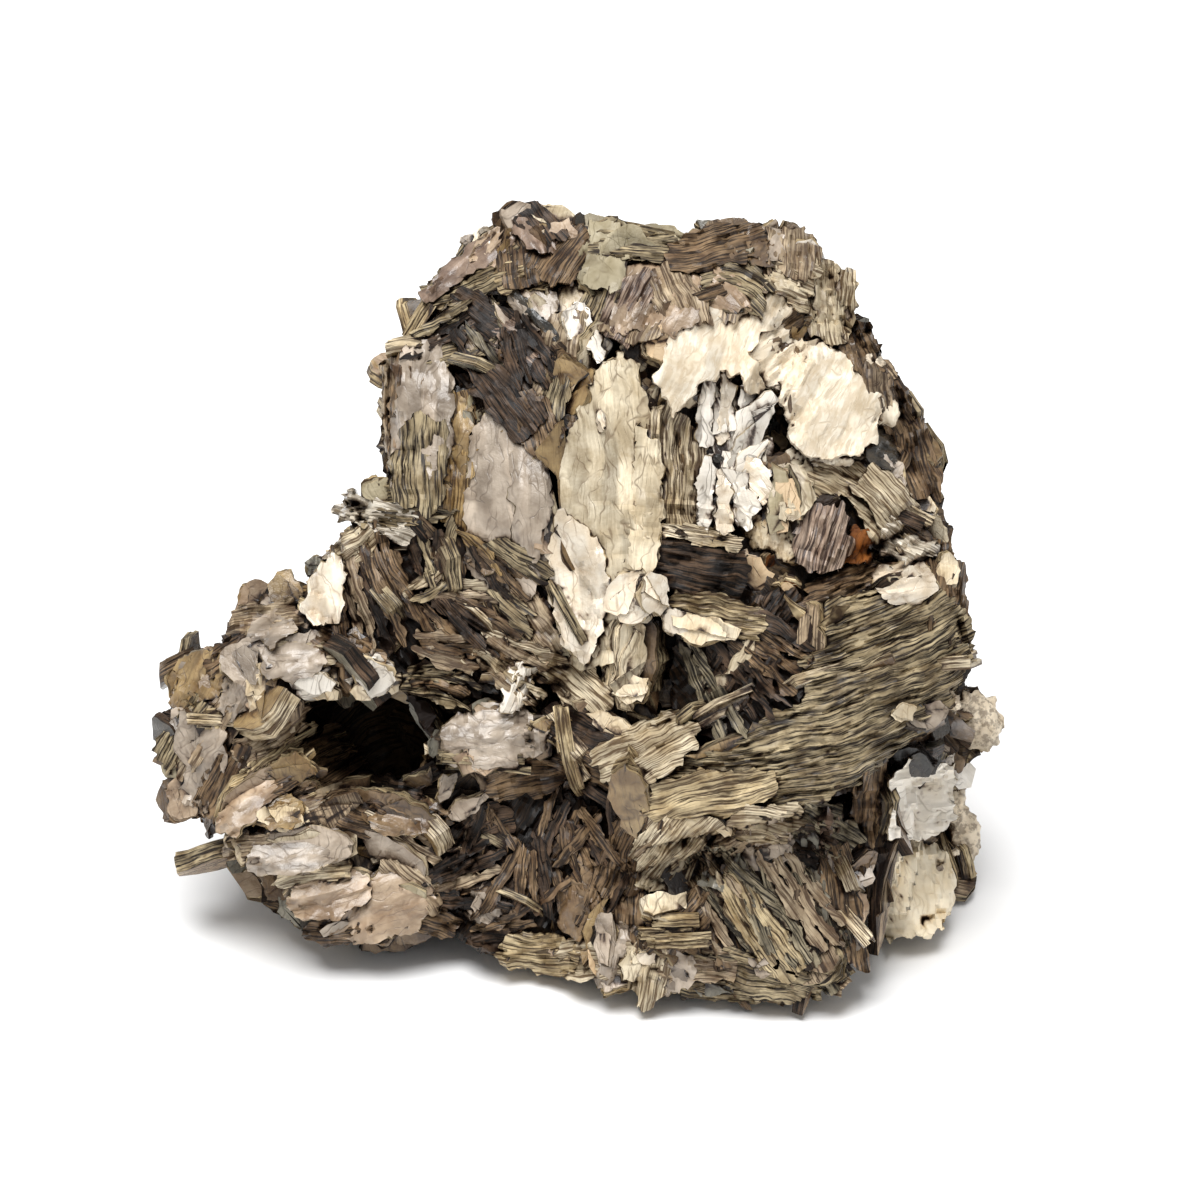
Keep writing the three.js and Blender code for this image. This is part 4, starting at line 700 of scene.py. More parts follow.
LEFT_LOBE = [
    (-38.8, 68, 3, 3.4, 11, 3, 14, 0, 30, "umber", DARK),
    (-47.4, 66.6, 3.4, 3, 6, 2, 30, 0, -20, "flake", "blush", TAN),
    (-52, 70.4, 3, 6, 7, 2, 16, 0, -10, "disc", "honey", OLIVE),
    (-46.6, 75.4, 3, 3.6, 3.4, 3, 0, "flake", "slate", OLIVE),
    (-52.4, 66.2, 3.6, 11, 6, 2.4, -6, -20, "disc", "lavender", TAN),
    (-59.6, 64.4, 3, 5, 6, 3, 10, 0, -20, "umber", OLIVE),
    (-50, 60.2, 4.6, 12, 7, 2.4, 4, -12, "disc", "lavender", TAN),
    (-57.6, 58.4, 4, 9, 8, 2.4, 20, -10, -10, "disc", "lavender", TAN),
    (-46.2, 55.4, 4.6, 8, 4, 2.4, -12, 20, "flake", "silver", CREAM),
    (-36.6, 56.4, 4.8, 8.6, 6, 2.4, -28, "silver", CREAM),
    (-35.6, 54.6, 4.2, 9, 4, 2, 6, 50, "flake", "cream", CREAM),
    (-41, 57, 4, 2.6, 7, 2, 6, 0, 30, "flake", "umber", BROWN),
    (-43, 51.8, 4.4, 4.4, 3.4, 2, 20, "flake", "cream", CREAM),
    (-40.6, 62, 4, 6, 5, 3, 30, "umber", BROWN),
    (-36, 63, 3.4, 5, 5, 3, 50, "blush", TAN),
    (-54.8, 52.2, 4.4, 5, 10.4, 3, 14, 0, -24, "cream", CREAM),
    (-50.6, 51.8, 3.6, 5, 6, 3, 10, 0, 30, "bark", TAN),
    (-52.6, 48, 4.4, 5, 3, 2, -20, "flake", "cream", TAN),
    (-61.6, 54.4, 3.6, 12, 8.6, 2.4, 38, -8, "disc", "blush", TAN),
    (-66.4, 57, 3.4, 7, 8, 2.4, 20, "disc", "honey", OLIVE),
    (-70, 53.4, 3, 7, 8, 2.4, 34, 0, -10, "disc", "honey", TAN),
    (-73, 47, 3, 5.6, 4.6, 4, -30, 30, -20, "book", "pitch", DARK),
    (-66.2, 42.4, 4, 8, 15, 3, 24, 0, -8, "lavender", BROWN),
    (-62, 40.6, 3.6, 4, 9, 2, 34, 0, 20, "flake", "blush", BROWN),
    (-69.4, 35, 3, 7, 8, 3, 16, "blush", BROWN),
    (-65, 33.4, 3.2, 5, 6, 3, 40, "flake", "umber", BROWN),
    (-72, 41.6, 2.4, 4, 8, 3, 14, 0, -20, "flake", "sage", TAN),
    (-56.4, 36.8, 4.6, 17, 8, 2.4, 38, 18, "disc", "blush", TAN),
    (-50.6, 40, 4, 9, 6, 2.4, 10, 10, "disc", "honey", TAN),
    (-50, 35.6, 4.4, 9, 6, 2.4, 20, 10, "disc", "umber", TAN),
    (-52, 32, 5.6, 9.4, 4.4, 3, 3, "cream", "honey"),
    (-49.8, 26.8, 5, 18, 8, 2.4, 4, 14, "lavender", CREAM),
    (-48.6, 28.4, 5, 12, 4, 2, 6, 24, "flake", "linen", BROWN),
    (-58, 26.2, 4, 7, 4.4, 2.4, -36, "flake", "cream", TAN),
    (-60.4, 24, 3, 4.4, 5, 3, 0, "disc", "slate", OLIVE),
    (-43.6, 33, 4.4, 11, 4.4, 3, 26, 20, "book", "bark", BROWN),
    (-42.6, 35.6, 3.6, 11, 3.6, 2, 18, 10, "flake", "umber", TAN),
    (-33, 33.2, 4, 15, 5, 2.4, -17, 16, "umber", OLIVE),
    (-32.4, 29.8, 4.4, 15, 5, 1.2, -17, 62, "blade", "linen", CREAM),
    (-32.6, 25.8, 4.6, 15, 6, 1.6, -36, 50, "blade", "lavender", CREAM),
    (-34.6, 27.2, 4, 14, 6, 1.2, -34, 60, "blade", "linen", CREAM),
    (-39, 25, 4, 5, 6.4, 2, 10, "flake", "bark", TAN),
    (-26, 28.8, 3.6, 6, 7, 3, -10, "honey", BROWN),
    (-30, 37, 3.4, 9, 3.6, 2, 34, 10, "flake", "umber", OLIVE),
    (-43, 18.8, 5, 13.6, 6.4, 2, 16, 14, "linen", CREAM),
    (-47, 22, 4.6, 10, 3, 2, 40, 20, "flake", "lavender", CREAM),
    (-53, 19.6, 3.6, 5, 7, 3, -10, "umber", BROWN),
    (-45, 14.4, 4.4, 10, 2.4, 2, -12, 20, "flake", "silver", CREAM),
    (-50.4, 14.6, 3.4, 8, 4, 3, -34, "flake", "slate", OLIVE),
    (-33.6, 20, 4, 5, 6, 2, -40, "disc", "blush", TAN),
    (-40, 13, 4.4, 11, 3, 2, 8, 20, "flake", "lavender", TAN),
    (-34, 9.6, 3, 11, 4, 4, 3, "umber", DARK),
    (-29.6, 11, 3, 6, 3, 3, 10, "flake", "umber", DARK),
    (-24, 19, 2.6, 5, 5.4, 3, 0, "umber", DARK),
    (-16.6, 16.6, 3.6, 5, 7.4, 2, 22, "lavender", BROWN),
]
OUTGROWTH = [
    (63, 17.4, 3, 4, 9, 3, 0, 0, 20, "flake", "lavender", TAN),
    (54.6, 37, 3, 3, 4, 2, 0, "flake", "slate", BROWN),
    (64, 47.6, 4, 3, 11, 2.4, 50, 0, 40, "blade", "umber", DARK),
    (62.4, 46.6, 4, 3, 9, 2.4, 52, 0, 40, "blade", "bark", DARK),
    (65.6, 50, 4, 3, 8, 2.4, 46, 0, 40, "blade", "umber", TAN),
    (60.6, 49, 4, 4, 8, 3, 10, 0, 30, "book", "pitch", DARK),
    (60, 42.6, 3, 5, 7, 3, 0, 0, 30, "book", "pitch", DARK),
    (60.6, 26.8, 3, 5, 2.6, 2, 0, "flake", "honey", BROWN),
]

# ---------------------------------------------------------------- loose ground of small crystals
# across, up, wide, tall of the patch, how many, how far proud, size of one (wide, tall,
# thick), its turns (tip, turn, roll), how much those vary, habit where it isn't a flake,
# faces, edge
PATCHES = [
    (-18, 131, 7, 10, 26, 3.4, (2.6, 2.4, 1), (0, 0, 30), (40, 40, 60), ("silver", "crust", "lavender"),
     CREAM),
    (9, 127, 34, 14, 12, 3.4, (4.6, 3, 1.4), (-20, 0, 0), (16, 16, 30), ("sage", "bark", "umber"),
     OLIVE),
    (37, 133, 8, 5, 16, 3, (3, 3, 2), (0, 0, 0), (40, 40, 60), ("lavender", "silver"), TAN),
    (26, 134, 20, 6, 10, 3, (5, 3, 1.4), (-30, 0, 0), (16, 16, 30), ("slate", "umber", "sage"), OLIVE),
    (-8, 129, 20, 14, 10, 3, (4, 5, 1.4), (-10, 0, 10), (30, 40, 50), ("umber", "honey", "lavender"),
     OLIVE),
    (-20, 114, 14, 10, 14, 2.8, (5, 3, 1.4), (30, 0, 20), (20, 30, 30), ("slate", "umber"), DARK),
    (-27, 104, 8, 22, 18, 3, (2.4, 6, 1), (0, -14, 2), (10, 30, 14), ("lavender", "blush", "honey"),
     BROWN),
    (-22, 97, 9, 18, 22, 3.4, (2, 6, 1), (0, -10, -4), (10, 40, 16), ("honey", "peach", "umber"), OLIVE),
    (-12.6, 90, 14, 24, 5, 4.2, (2, 7, 0.7), (0, 0, -2), (8, 14, 8), ("lavender", "linen"), OLIVE),
    (-4, 90, 7, 26, 22, 3.6, (1.8, 7, 1.2), (0, 20, 0), (10, 50, 12), ("honey", "umber", "linen"),
     BROWN),
    (-3, 110, 12, 20, 26, 3.4, (2.2, 7, 1.2), (0, 20, 28), (16, 40, 18), ("umber", "linen", "pitch"),
     OLIVE),
    (3.8, 96, 12, 34, 5, 4.4, (1.5, 7, 0.6), (0, 0, 1), (8, 40, 8), ("linen", "silver", "cream"), TAN),
    (4, 74, 14, 24, 6, 4.4, (2, 6, 0.7), (0, 0, -8), (10, 40, 14), ("linen", "pearl", "silver"), TAN),
    (10, 108, 14, 14, 26, 3.6, (2.6, 5, 1.2), (0, 0, 0), (20, 30, 30), ("cream", "peach", "honey"),
     BROWN),
    (14.6, 92, 10, 28, 6, 3.4, (1.4, 8, 1.4), (0, 30, 0), (10, 50, 14), ("cream", "umber", "linen"),
     BROWN),
    (20.6, 92, 4, 20, 3, 3.2, (2, 8, 1.4), (0, 20, 0), (8, 30, 8), ("peach", "honey"), BROWN),
    (20, 72, 30, 22, 6, 3, (7, 2.4, 1.6), (40, 0, -8), (30, 20, 12), ("slate", "linen", "umber"), DARK),
    (10, 60, 12, 16, 18, 3.2, (1.8, 6, 1.2), (0, 30, 0), (10, 40, 12), ("linen", "umber", "cream"),
     OLIVE),
    (24, 56, 14, 14, 8, 2.6, (1.4, 9, 1.6), (0, 40, -28), (14, 40, 12), ("pitch", "slate", "umber"),
     DARK),
    (33, 63, 8, 20, 6, 2.6, (1.4, 9, 1.6), (0, 40, -26), (14, 40, 12), ("pitch", "umber", "rust"), DARK),
    (31, 76, 12, 12, 22, 3.4, (2.6, 2.6, 1.4), (0, 0, 0), (50, 50, 60), ("rust", "peach", "umber"), TAN),
    (44, 72, 14, 9, 6, 3, (6, 2.4, 1.6), (50, 0, 16), (20, 20, 12), ("pitch", "umber", "slate"), DARK),
    (56, 79, 14, 9, 26, 3.6, (5, 1.8, 1), (30, 0, -20), (30, 30, 20), ("linen", "umber", "lavender"),
     TAN),
    (54, 72.4, 9, 6, 8, 4.6, (3, 2.4, 1), (0, 0, 6), (16, 16, 30), ("pearl", "linen"), TAN),
    (49, 114, 8, 14, 24, 3, (3, 4, 2), (0, 20, 10), (40, 40, 50), ("umber", "bark", "slate"), DARK),
    (56, 93, 8, 22, 50, 3, (2.4, 2.6, 1.8), (0, 0, 0), (60, 60, 90), ("umber", "linen", "bark"), BROWN),
    (33, 103, 7, 12, 18, 2.8, (2.4, 3, 1.6), (0, 0, 0), (50, 50, 90), ("umber", "peach", "rust"), BROWN),
    (41, 119, 6, 10, 14, 3.2, (2, 4, 1.2), (0, 0, 10), (20, 40, 30), ("honey", "umber"), OLIVE),
    (22, 41, 40, 12, 5, 4, (10, 2, 0.8), (60, 0, 12), (30, 10, 7), ("linen", "sage", "honey"), OLIVE),
    (50, 55, 24, 20, 5, 4, (9, 2, 0.8), (60, 0, 25), (30, 10, 7), ("sage", "slate", "umber"), OLIVE),
    (60, 47, 12, 10, 18, 3, (3, 5, 1.4), (0, 40, 20), (30, 40, 30), ("pitch", "umber", "lavender"),
     DARK),
    (34, 27, 28, 14, 34, 3, (3.4, 4, 2), (0, 0, -4), (40, 50, 50), ("slate", "lavender", "umber"), DARK),
    (48.6, 29, 7, 24, 8, 3, (1.8, 10, 2), (0, 40, 4), (10, 50, 12), ("umber", "bark", "pitch"), DARK),
    (42, 13, 10, 16, 8, 3.4, (2, 8, 2), (0, 40, -6), (14, 50, 20), ("slate", "umber", "pitch"), DARK),
    (29, 12, 12, 20, 10, 3.6, (1.6, 9, 2), (0, 30, 36), (10, 50, 12), ("bark", "linen", "umber"), BROWN),
    (12, 18, 16, 22, 34, 3.2, (3, 5, 1.6), (0, 20, 0), (40, 50, 60), ("umber", "honey", "linen"), OLIVE),
    (8, 9, 14, 12, 20, 3.6, (3, 4, 1.4), (0, 0, 0), (40, 50, 60), ("lavender", "linen", "honey"), BROWN),
    (32, 5, 26, 7, 22, 3, (5, 2.4, 1.6), (30, 0, -2), (30, 30, 20), ("slate", "umber"), BROWN),
    (-4, 20, 14, 16, 20, 3, (3, 7, 1.4), (0, 20, 10), (30, 50, 40), ("umber", "bark", "honey"), BROWN),
    (-14, 17, 14, 10, 14, 2.6, (5, 2, 1.2), (40, 0, 6), (30, 30, 20), ("umber", "blush"), DARK),
    (1, 32, 12, 10, 20, 2.6, (2, 8, 1.6), (0, 40, 10), (20, 50, 30), ("umber", "pitch", "lavender"),
     DARK),
    (-10, 38, 20, 9, 22, 3.2, (4, 2.4, 1.2), (20, 0, 0), (40, 40, 30), ("umber", "slate", "blush"),
     OLIVE),
    (4, 46, 16, 14, 30, 3.4, (5, 2.4, 0.9), (40, 0, -16), (30, 30, 30), ("umber", "cream", "honey"),
     TAN),
    (-4, 56, 12, 12, 26, 3.4, (5, 2.4, 0.8), (40, 0, -30), (30, 30, 30), ("umber", "honey", "sage"),
     CREAM),
    (-5, 65, 11, 9, 14, 3.6, (4, 4, 1.6), (0, 0, 0), (30, 30, 60), "disc", ("sage", "honey"), OLIVE),
    (-17, 57, 16, 10, 26, 3.4, (6, 2, 0.8), (50, 0, 8), (30, 20, 24), ("umber", "linen", "honey"),
     CREAM),
    (-15.2, 46, 15, 9, 8, 5, (5, 3, 0.6), (0, 0, 2), (10, 10, 20), ("lavender", "blush"), OLIVE),
    (-30, 86, 18, 8, 6, 3, (8, 2, 1), (60, 0, -4), (24, 20, 10), ("sage", "umber", "linen"), OLIVE),
    (-19, 77, 14, 8, 14, 3.4, (4, 4, 1.2), (0, 0, 10), (30, 40, 50), ("umber", "sage", "honey"), CREAM),
    (-39, 66, 9, 16, 20, 3, (2, 6, 1.4), (0, 30, 10), (20, 50, 20), ("umber", "bark", "blush"), DARK),
    (-52, 69, 14, 9, 14, 3, (4, 4, 1.2), (0, 0, 10), (24, 24, 40), "disc", ("honey", "umber", "blush"),
     TAN),
    (-42, 55, 18, 7, 18, 3.8, (4, 2.6, 1), (20, 0, 0), (40, 30, 40), ("silver", "cream", "umber"),
     CREAM),
    (-64, 55, 16, 12, 16, 3.2, (4, 4, 1), (0, 0, 34), (20, 20, 30), "disc",
     ("honey", "blush", "lavender"), TAN),
    (-67, 42, 11, 16, 18, 3.4, (3, 5, 1.2), (0, 0, 20), (30, 40, 40), ("lavender", "umber", "blush"),
     BROWN),
    (-52, 38, 20, 12, 26, 3.6, (6, 2, 0.8), (30, 0, 28), (24, 20, 16), ("honey", "umber", "blush"), TAN),
    (-34, 31, 18, 12, 24, 3.4, (6, 2, 0.8), (40, 0, -16), (30, 20, 20), ("umber", "honey", "linen"),
     TAN),
    (-45, 22, 24, 10, 26, 3.6, (4, 2.4, 1), (20, 0, 14), (30, 30, 40), ("lavender", "linen", "umber"),
     TAN),
    (-55, 27, 12, 8, 14, 3.4, (4, 2.4, 1), (20, 0, -10), (30, 30, 40), ("lavender", "cream"), TAN),
    (-38, 12, 20, 6, 14, 3, (4, 2.4, 1.4), (20, 0, 6), (30, 30, 30), ("umber", "lavender"), DARK),
]
# across, up, from angle, to angle, inner and outer reach, how many, how far proud, width,
# thickness, turn, habit, faces, edges
FANS = [
    (34, 93, -112, -66, 1, 13, 14, 4.6, 3, 1, 10, "blade", ("peach", "sage"), OLIVE),
    (-10, 90, 198, 234, 10, 36, 17, 4.4, 5, 0.6, 76, "blade", ("umber", "sage"), CREAM),
    (-20, 20, 60, 120, 5, 15, 9, 3, 2, 1, 74, "blade", ("umber", "slate"), CREAM),
    (0, 26, 50, 130, 3, 12, 10, 3, 2, 1.2, 70, "blade", ("umber", "slate"), DARK),
]

# ---------------------------------------------------------------- white albite and gritty rims
# across, up, how far proud, wide, tall, deep, roll, how many knobs, size of a knob
CRUSTS = {
    "white_crust": ("crust", [
        (22, 110, 4, 10, 13, 4, -12, 8, 5),
        (31.6, 118.5, 4, 12, 4, 3, 34, 6, 3.6),
        (18, 105.4, 4, 6, 7, 4, 30, 6, 3),
        (42, 105, 4, 13, 9, 4, -4, 9, 4.6),
        (40.6, 110.6, 4.6, 8, 6, 4, 10, 12, 2.6),
        (46, 98.4, 4.6, 6.4, 4, 3, -10, 9, 2.6),
        (52.6, 102, 4, 5, 6, 3, 20, 10, 2.2),
        (40.5, 93.6, 4.4, 14, 3, 3.4, -3, 16, 2.4),
        (59.6, 83.6, 3.8, 6, 9, 3, 10, 12, 2.4),
        (48, 94.6, 3.6, 5, 3, 3, -20, 6, 2),
    ]),
    "old_crust": ("old_crust", [
        (32, 81, 4.2, 10, 7, 4, -10, 20, 2.6),
        (28.8, 84, 4, 5, 4, 3, 0, 8, 2.4),
        (36, 77.4, 3.4, 6, 5, 3, 0, 8, 2.2),
        (54, 77.4, 4, 7, 3.6, 3, 4, 10, 2),
    ]),
    "granular_rim": ("grit", [
        (71, 47.4, 4, 8, 11, 4, 10, 26, 2.6),
        (66, 51, 4, 10, 5, 4, -14, 18, 2.6),
        (66.4, 34, 3.4, 5, 10, 4, 12, 16, 2.4),
        (69, 26.4, 4, 6.4, 11, 4, 0, 20, 2.6),
        (56, 90, 3, 5, 12, 3, 10, 16, 2.2),
        (51, 108.6, 3.4, 5, 8, 3, 20, 12, 2.2),
    ]),
    "brown_rim": ("brown_grit", [
        (58, 94, 3, 6, 14, 3, 20, 26, 2.2),
        (59.4, 84, 2.6, 5, 12, 3, 0, 14, 2.2),
        (34, 101, 2.8, 6, 8, 3, 0, 14, 2.2),
        (48, 117, 2.6, 5, 6, 3, 30, 10, 2.2),
        (66, 40, 2.8, 6, 5, 3, 20, 10, 2),
    ]),
}

# ---------------------------------------------------------------- the rest of the cluster
FILL_BOOKS = 230              # plates grown over the sides, the back and the top
FILL_COARSE = 2.6             # how much coarser they are than the ones in front
FILL_BEHIND = 0.25            # only on faces turned less than this to the front
FILL_UNDER = -0.5             # and not on ones that face down more than this
FILL_LOW = 4                  # they start this high above the floor
ROOTED = 3                    # a crystal that stands this proud lies flush with the mass
SINK = 1.1                    # how far the grown mass lies under the crystals' faces
MASS_GRID = 1.4               # detail of the grown mass
PLATE_CELL = 0.075            # cells per millimetre of the mass's own little books
PLATE_STEP = 3.4              # height of one of their steps
STEP_DEEP = 2.3               # how far such a step goes back, round the sides and the back
IN_FRONT = 0.3                # faces turned this far to the front are hidden by crystals
MASS_LOOKS = (FAWN, BROWN, OLIVE, TAN, HONEY, SLATE,
              PLUM, LINEN)
CRUST_GRID = 0.5              # detail of the crusts
LOOK_FAR = 8                  # how far round a point its painted shade is gathered
LOOKS = 4                     # directions tried at each point
CLEAR = 0.4                   # steps lower than this gather no painted shade
LAPPED = 1.1                  # how much wider the listed crystals grow, to lap each other
TILT = 13                     # degrees that the listed crystals lie off their row's turns
GRID_ALONG = 0.85             # grid of an edge-on patch, along its lines
GRID_ACROSS = 0.5             # and across them, as a part of the spacing of the sheets
BLOCK = (                     # corners of a book seen edge-on, as parts of its size
    (-0.5, -0.2), (-0.42, 0.4), (-0.1, 0.5), (0.3, 0.46),
    (0.5, 0.2), (0.44, -0.4), (0.1, -0.5), (-0.36, -0.46),
)
BLOCK_SPARE = 1.8             # what its ragged outline loses
BLOCK_SPACING = (0.9, 1.5)    # thickness of its sheets
BLOCK_RELIEF = 1.2
BLADE_WIDE = 0.35             # width of a lone blade
BLADE_SHEET = 0.9             # thickness of its sheets
BLADE_RELIEF = 0.7
SHADE_SHEET_PROUD = 2.6            # how far proud the dark sheets of painted shade behind the blades lie
SPARSE = 0.36                 # share of a patch's small crystals that is grown
GROWN = 1.5                   # and how much wider and taller each one is
RIM_ROUNDS = 3                # rounds of evening out the rim of a patch
RIM_JAG = 1.1                 # how far its rim then strays
DROOP = 0.9                   # how far a cleaved plate bends back at its sides
PLATE_DEPTH = 2.4             # thickness of a cleaved plate
WIDEST_CELL = 0.55            # widest grid cell, in millimetres
PATCH_DEPTH = 4.5             # thickness of a patch of sheets seen edge-on
GRID_SPARE = 0.6              # how far a patch's grid reaches past its outline
RAGGED = (1.5, 0.9)           # how far its outline strays, along and across the lines
# shares of its relief in a slow swell, ledges and chips, and how far each sheet slants
EDGE_STEPS = (0.9, 0.75, 0.3, 0.12)
CLEAVED_STEPS = (1.5, 0.45, 0, 0.1)
RUN_APART = 1.15              # how much wider the gaps between blades are grown
SHADE_WAYS = 997              # directions along which the painted shade of the crevices is felt
INNER_RINGS = (0.82, 0.55, 0.3, 0.12)     # rings of points on a plate's face, where it is wide
SHARP = math.radians(34)      # edges sharper than this stay crisp


def smooth(mesh):
    """Shades a mesh smoothly, but keeps its real edges crisp."""
    mesh.shade_smooth()
    mesh.set_sharp_from_angle(angle=SHARP)


def stand(name, data):
    """Puts an object with this data in the scene."""
    thing = bpy.data.objects.new(name, data)
    bpy.context.scene.collection.objects.link(thing)
    return thing


def grained(mesh=None):
    """A mesh to work on, with the coordinates and the tone that each sheet carries."""
    bm = bmesh.new()
    if mesh:
        bm.from_mesh(mesh)
    grain = bm.verts.layers.float_vector.new("grain")
    return bm, grain, bm.verts.layers.float.new("tone")


def somewhere(rng):
    """A place of its own in the noise."""
    return Vector((rng.uniform(-90, 90), rng.uniform(-90, 90), rng.uniform(-90, 90)))


def outline_of(rng, corners, points, wide, tall):
    """Points round a straight-sided outline of its own, with the way each one faces."""
    step = math.tau / corners
    sway = 0.08 if corners == 4 else 0.24
    sides = []
    for side in range(corners):
        turn = step * (side + 0.5 * (corners % 4 == 2) + rng.uniform(-sway, sway))
        sides.append((turn, rng.uniform(0.82, 1.08)))
    knees = []
    for (a, far_a), (b, far_b) in zip(sides, sides[1:] + sides[:1]):
        cross = math.sin(b - a)
        x = (far_a * math.sin(b) - far_b * math.sin(a)) / cross
        y = (far_b * math.cos(a) - far_a * math.cos(b)) / cross
        knees.append(Vector((x * wide / 2, y * tall / 2, 0)))
    round_it = sum((k - knees[i - 1]).length for i, k in enumerate(knees))
    outline = []
    for number in range(corners):
        start, end = knees[number - 1], knees[number]
        facing = sides[number][0]
        away = Vector((math.cos(facing) / wide, math.sin(facing) / tall, 0)).normalized()
        share = max(1, round(points * (end - start).length / round_it))
        for part in range(share):
            outline.append((start.lerp(end, part / share), away))
    return outline


class Region:
    """Crystals that make up one piece, with their coordinates and tones."""

    def __init__(self, name):
        self.name = name
        self.bm = grained()[0]
        self.scratch = bpy.data.meshes.new(name + "_scratch")
        self.finishes = []

    def finish_index(self, finish):
        if finish not in self.finishes:
            self.finishes.append(finish)
        return self.finishes.index(finish)

    def add(self, bm):
        bm.to_mesh(self.scratch)
        bm.free()
        self.bm.from_mesh(self.scratch)

    def piece(self):
        """The finished object of this region."""
        mesh = bpy.data.meshes.new(self.name)
        self.bm.to_mesh(mesh)
        self.bm.free()
        bpy.data.meshes.remove(self.scratch)
        for finish in self.finishes:
            mesh.materials.append(material_of(finish))
        smooth(mesh)
        return stand(self.name, mesh)


def crystal(region, to_world, size, habit, face, edge, seed, coarse=1.0):
    """Grows one stack of thin sheets: a straight-sided outline drawn up sheet by sheet,
    each a little in or out from the last, then torn part sheets on its face, bent as one."""
    rng = random.Random(seed)
    wide, tall, thick = size
    h = HABITS[habit]
    sheets = max(2, round(thick / (h["sheet"] * coarse)))
    small = min(wide, tall, 12)
    outline = outline_of(rng, h["corners"], max(7, round(h["points"] / coarse)), wide, tall)
    shift = somewhere(rng)
    bm, grain, tone = grained()
    spoke = bm.verts.layers.int.new("spoke")
    ring = bmesh.ops.create_circle(bm, cap_ends=True, segments=len(outline), radius=1)
    for number, vert in enumerate(ring["verts"]):
        vert[spoke] = number

    def laid(verts, level, inset, height, shade, tears=(), scale=1.0):
        for vert in verts:
            spot, away = outline[vert[spoke]]
            where = spot * (2.2 / small) + shift
            rough = noise.noise(where + Vector((0, 0, level * 0.17)))
            fine = noise.noise(where * 3.1 + Vector((0, 0, level * 1.7)))
            out = h["ragged"] * small * (1.6 * rough + 0.8 * fine) - inset
            spot = (spot + away * out) * scale
            for way, far in tears:
                jag = 0.35 * noise.noise(spot * 0.9 + shift)
                past = spot.dot(way) - (far + jag)
                if past > 0:
                    spot = spot - way * past
            vert.co = (spot.x, spot.y, height)
            vert[grain] = vert.co + shift
            vert[tone] = shade

    def drawn(cap, keep=False):
        grown = bmesh.ops.extrude_face_region(bm, geom=[cap])["geom"]
        if not keep:
            bmesh.ops.delete(bm, geom=[cap], context="FACES_ONLY")
        return [g for g in grown if isinstance(g, bmesh.types.BMFace)][0]

    cap = bm.faces[:][0]
    low = -thick / 2
    each = thick / sheets
    set_back = 0.0
    stray = h["step"] * small
    for number in range(sheets):
        set_back = 0.5 * set_back + rng.uniform(-stray, stray)
        shade = rng.random()
        if number:
            cap = drawn(cap)
        laid(cap.verts, number, set_back + stray, low + each * number, shade)
        cap = drawn(cap, keep=number == 0)
        laid(cap.verts, number, set_back + stray, low + each * (number + 1), shade)
    top = thick / 2
    tears = []
    for number in range(h["torn"]):
        turn = rng.uniform(0, math.tau)
        way = Vector((math.cos(turn), math.sin(turn), 0))
        reach = abs(way.x) * wide / 2 + abs(way.y) * tall / 2
        tears.append((way, reach * rng.uniform(0.1, 0.75)))
        set_back += 0.05
        shade = rng.random()
        cap = drawn(cap)
        laid(cap.verts, sheets, set_back + stray, top, shade, tears)
        top += rng.choice((0.12, 0.2, 0.32)) * (1 if small > 4 else 0.6)
        cap = drawn(cap)
        laid(cap.verts, sheets, set_back + stray, top, shade, tears)
    for inner in INNER_RINGS[: int(small / 3)]:
        cap = drawn(cap)
        laid(cap.verts, sheets, set_back + stray, top, shade, tears, inner)
    bm.normal_update()
    bmesh.ops.recalc_face_normals(bm, faces=bm.faces[:])
    face_slot = region.finish_index(face)
    edge_slot = region.finish_index(edge)
    for item in bm.faces:
        height = item.calc_center_median().z
        outer = height > thick / 2 - 0.01 or height < 0.01 - thick / 2
        flat = abs(item.normal.z) > 0.8
        item.material_index = face_slot if flat and outer else edge_slot
    bow = rng.uniform(-1, 1) * h["bend"]
    longest = max(wide, tall)
    for vert in bm.verts:
        x, y = vert.co.x / longest, vert.co.y / longest
        wave = noise.noise(Vector((x * 1.6, y * 1.6, 0)) + shift)
        ripple = noise.noise(Vector((vert.co.x * 0.5, vert.co.y * 0.16, 0)) + shift)
        lift = bow * longest * 2 * (y * y if tall > wide else x * x)
        vert.co.z += lift + h["bend"] * (longest * 0.35 * wave + 1.2 * ripple)
    bmesh.ops.transform(bm, matrix=to_world, verts=bm.verts[:])
    region.add(bm)


def skin_at(u, v):
    """How far out the front of the cluster lies at a place across and up its face."""
    hit = cad_tree.ray_cast(Vector((u, v, 200)), Vector((0, 0, -1)))
    return None if hit[0] is None else hit[0].z


def skin_under(u, v, wide, tall):
    """The middle depth of the front under a crystal."""
    spots = [(0, 0), (0.3, 0), (-0.3, 0), (0, 0.3), (0, -0.3)]
    found = [skin_at(u + a * wide, v + b * tall) for a, b in spots]
    found = sorted(f for f in found if f is not None)
    if not found:
        near = cad_tree.find_nearest(Vector((u, v, 0)))[0]
        return near.z
    return found[len(found) // 2]


def broad_skin(u, v):
    """The front's depth smoothed over a few millimetres."""
    found = []
    for a, b in ((0, 0), (3, 1), (-3, -1), (1, -3), (-1, 3), (5, -4), (-5, 4), (4, 5), (-4, -5)):
        depth = skin_at(u + a, v + b)
        if depth is not None:
            found.append(depth)
    if not found:
        return cad_tree.find_nearest(Vector((u, v, 0)))[0].z
    found.sort()
    kept = found[len(found) // 3:]
    return sum(kept) / len(kept)


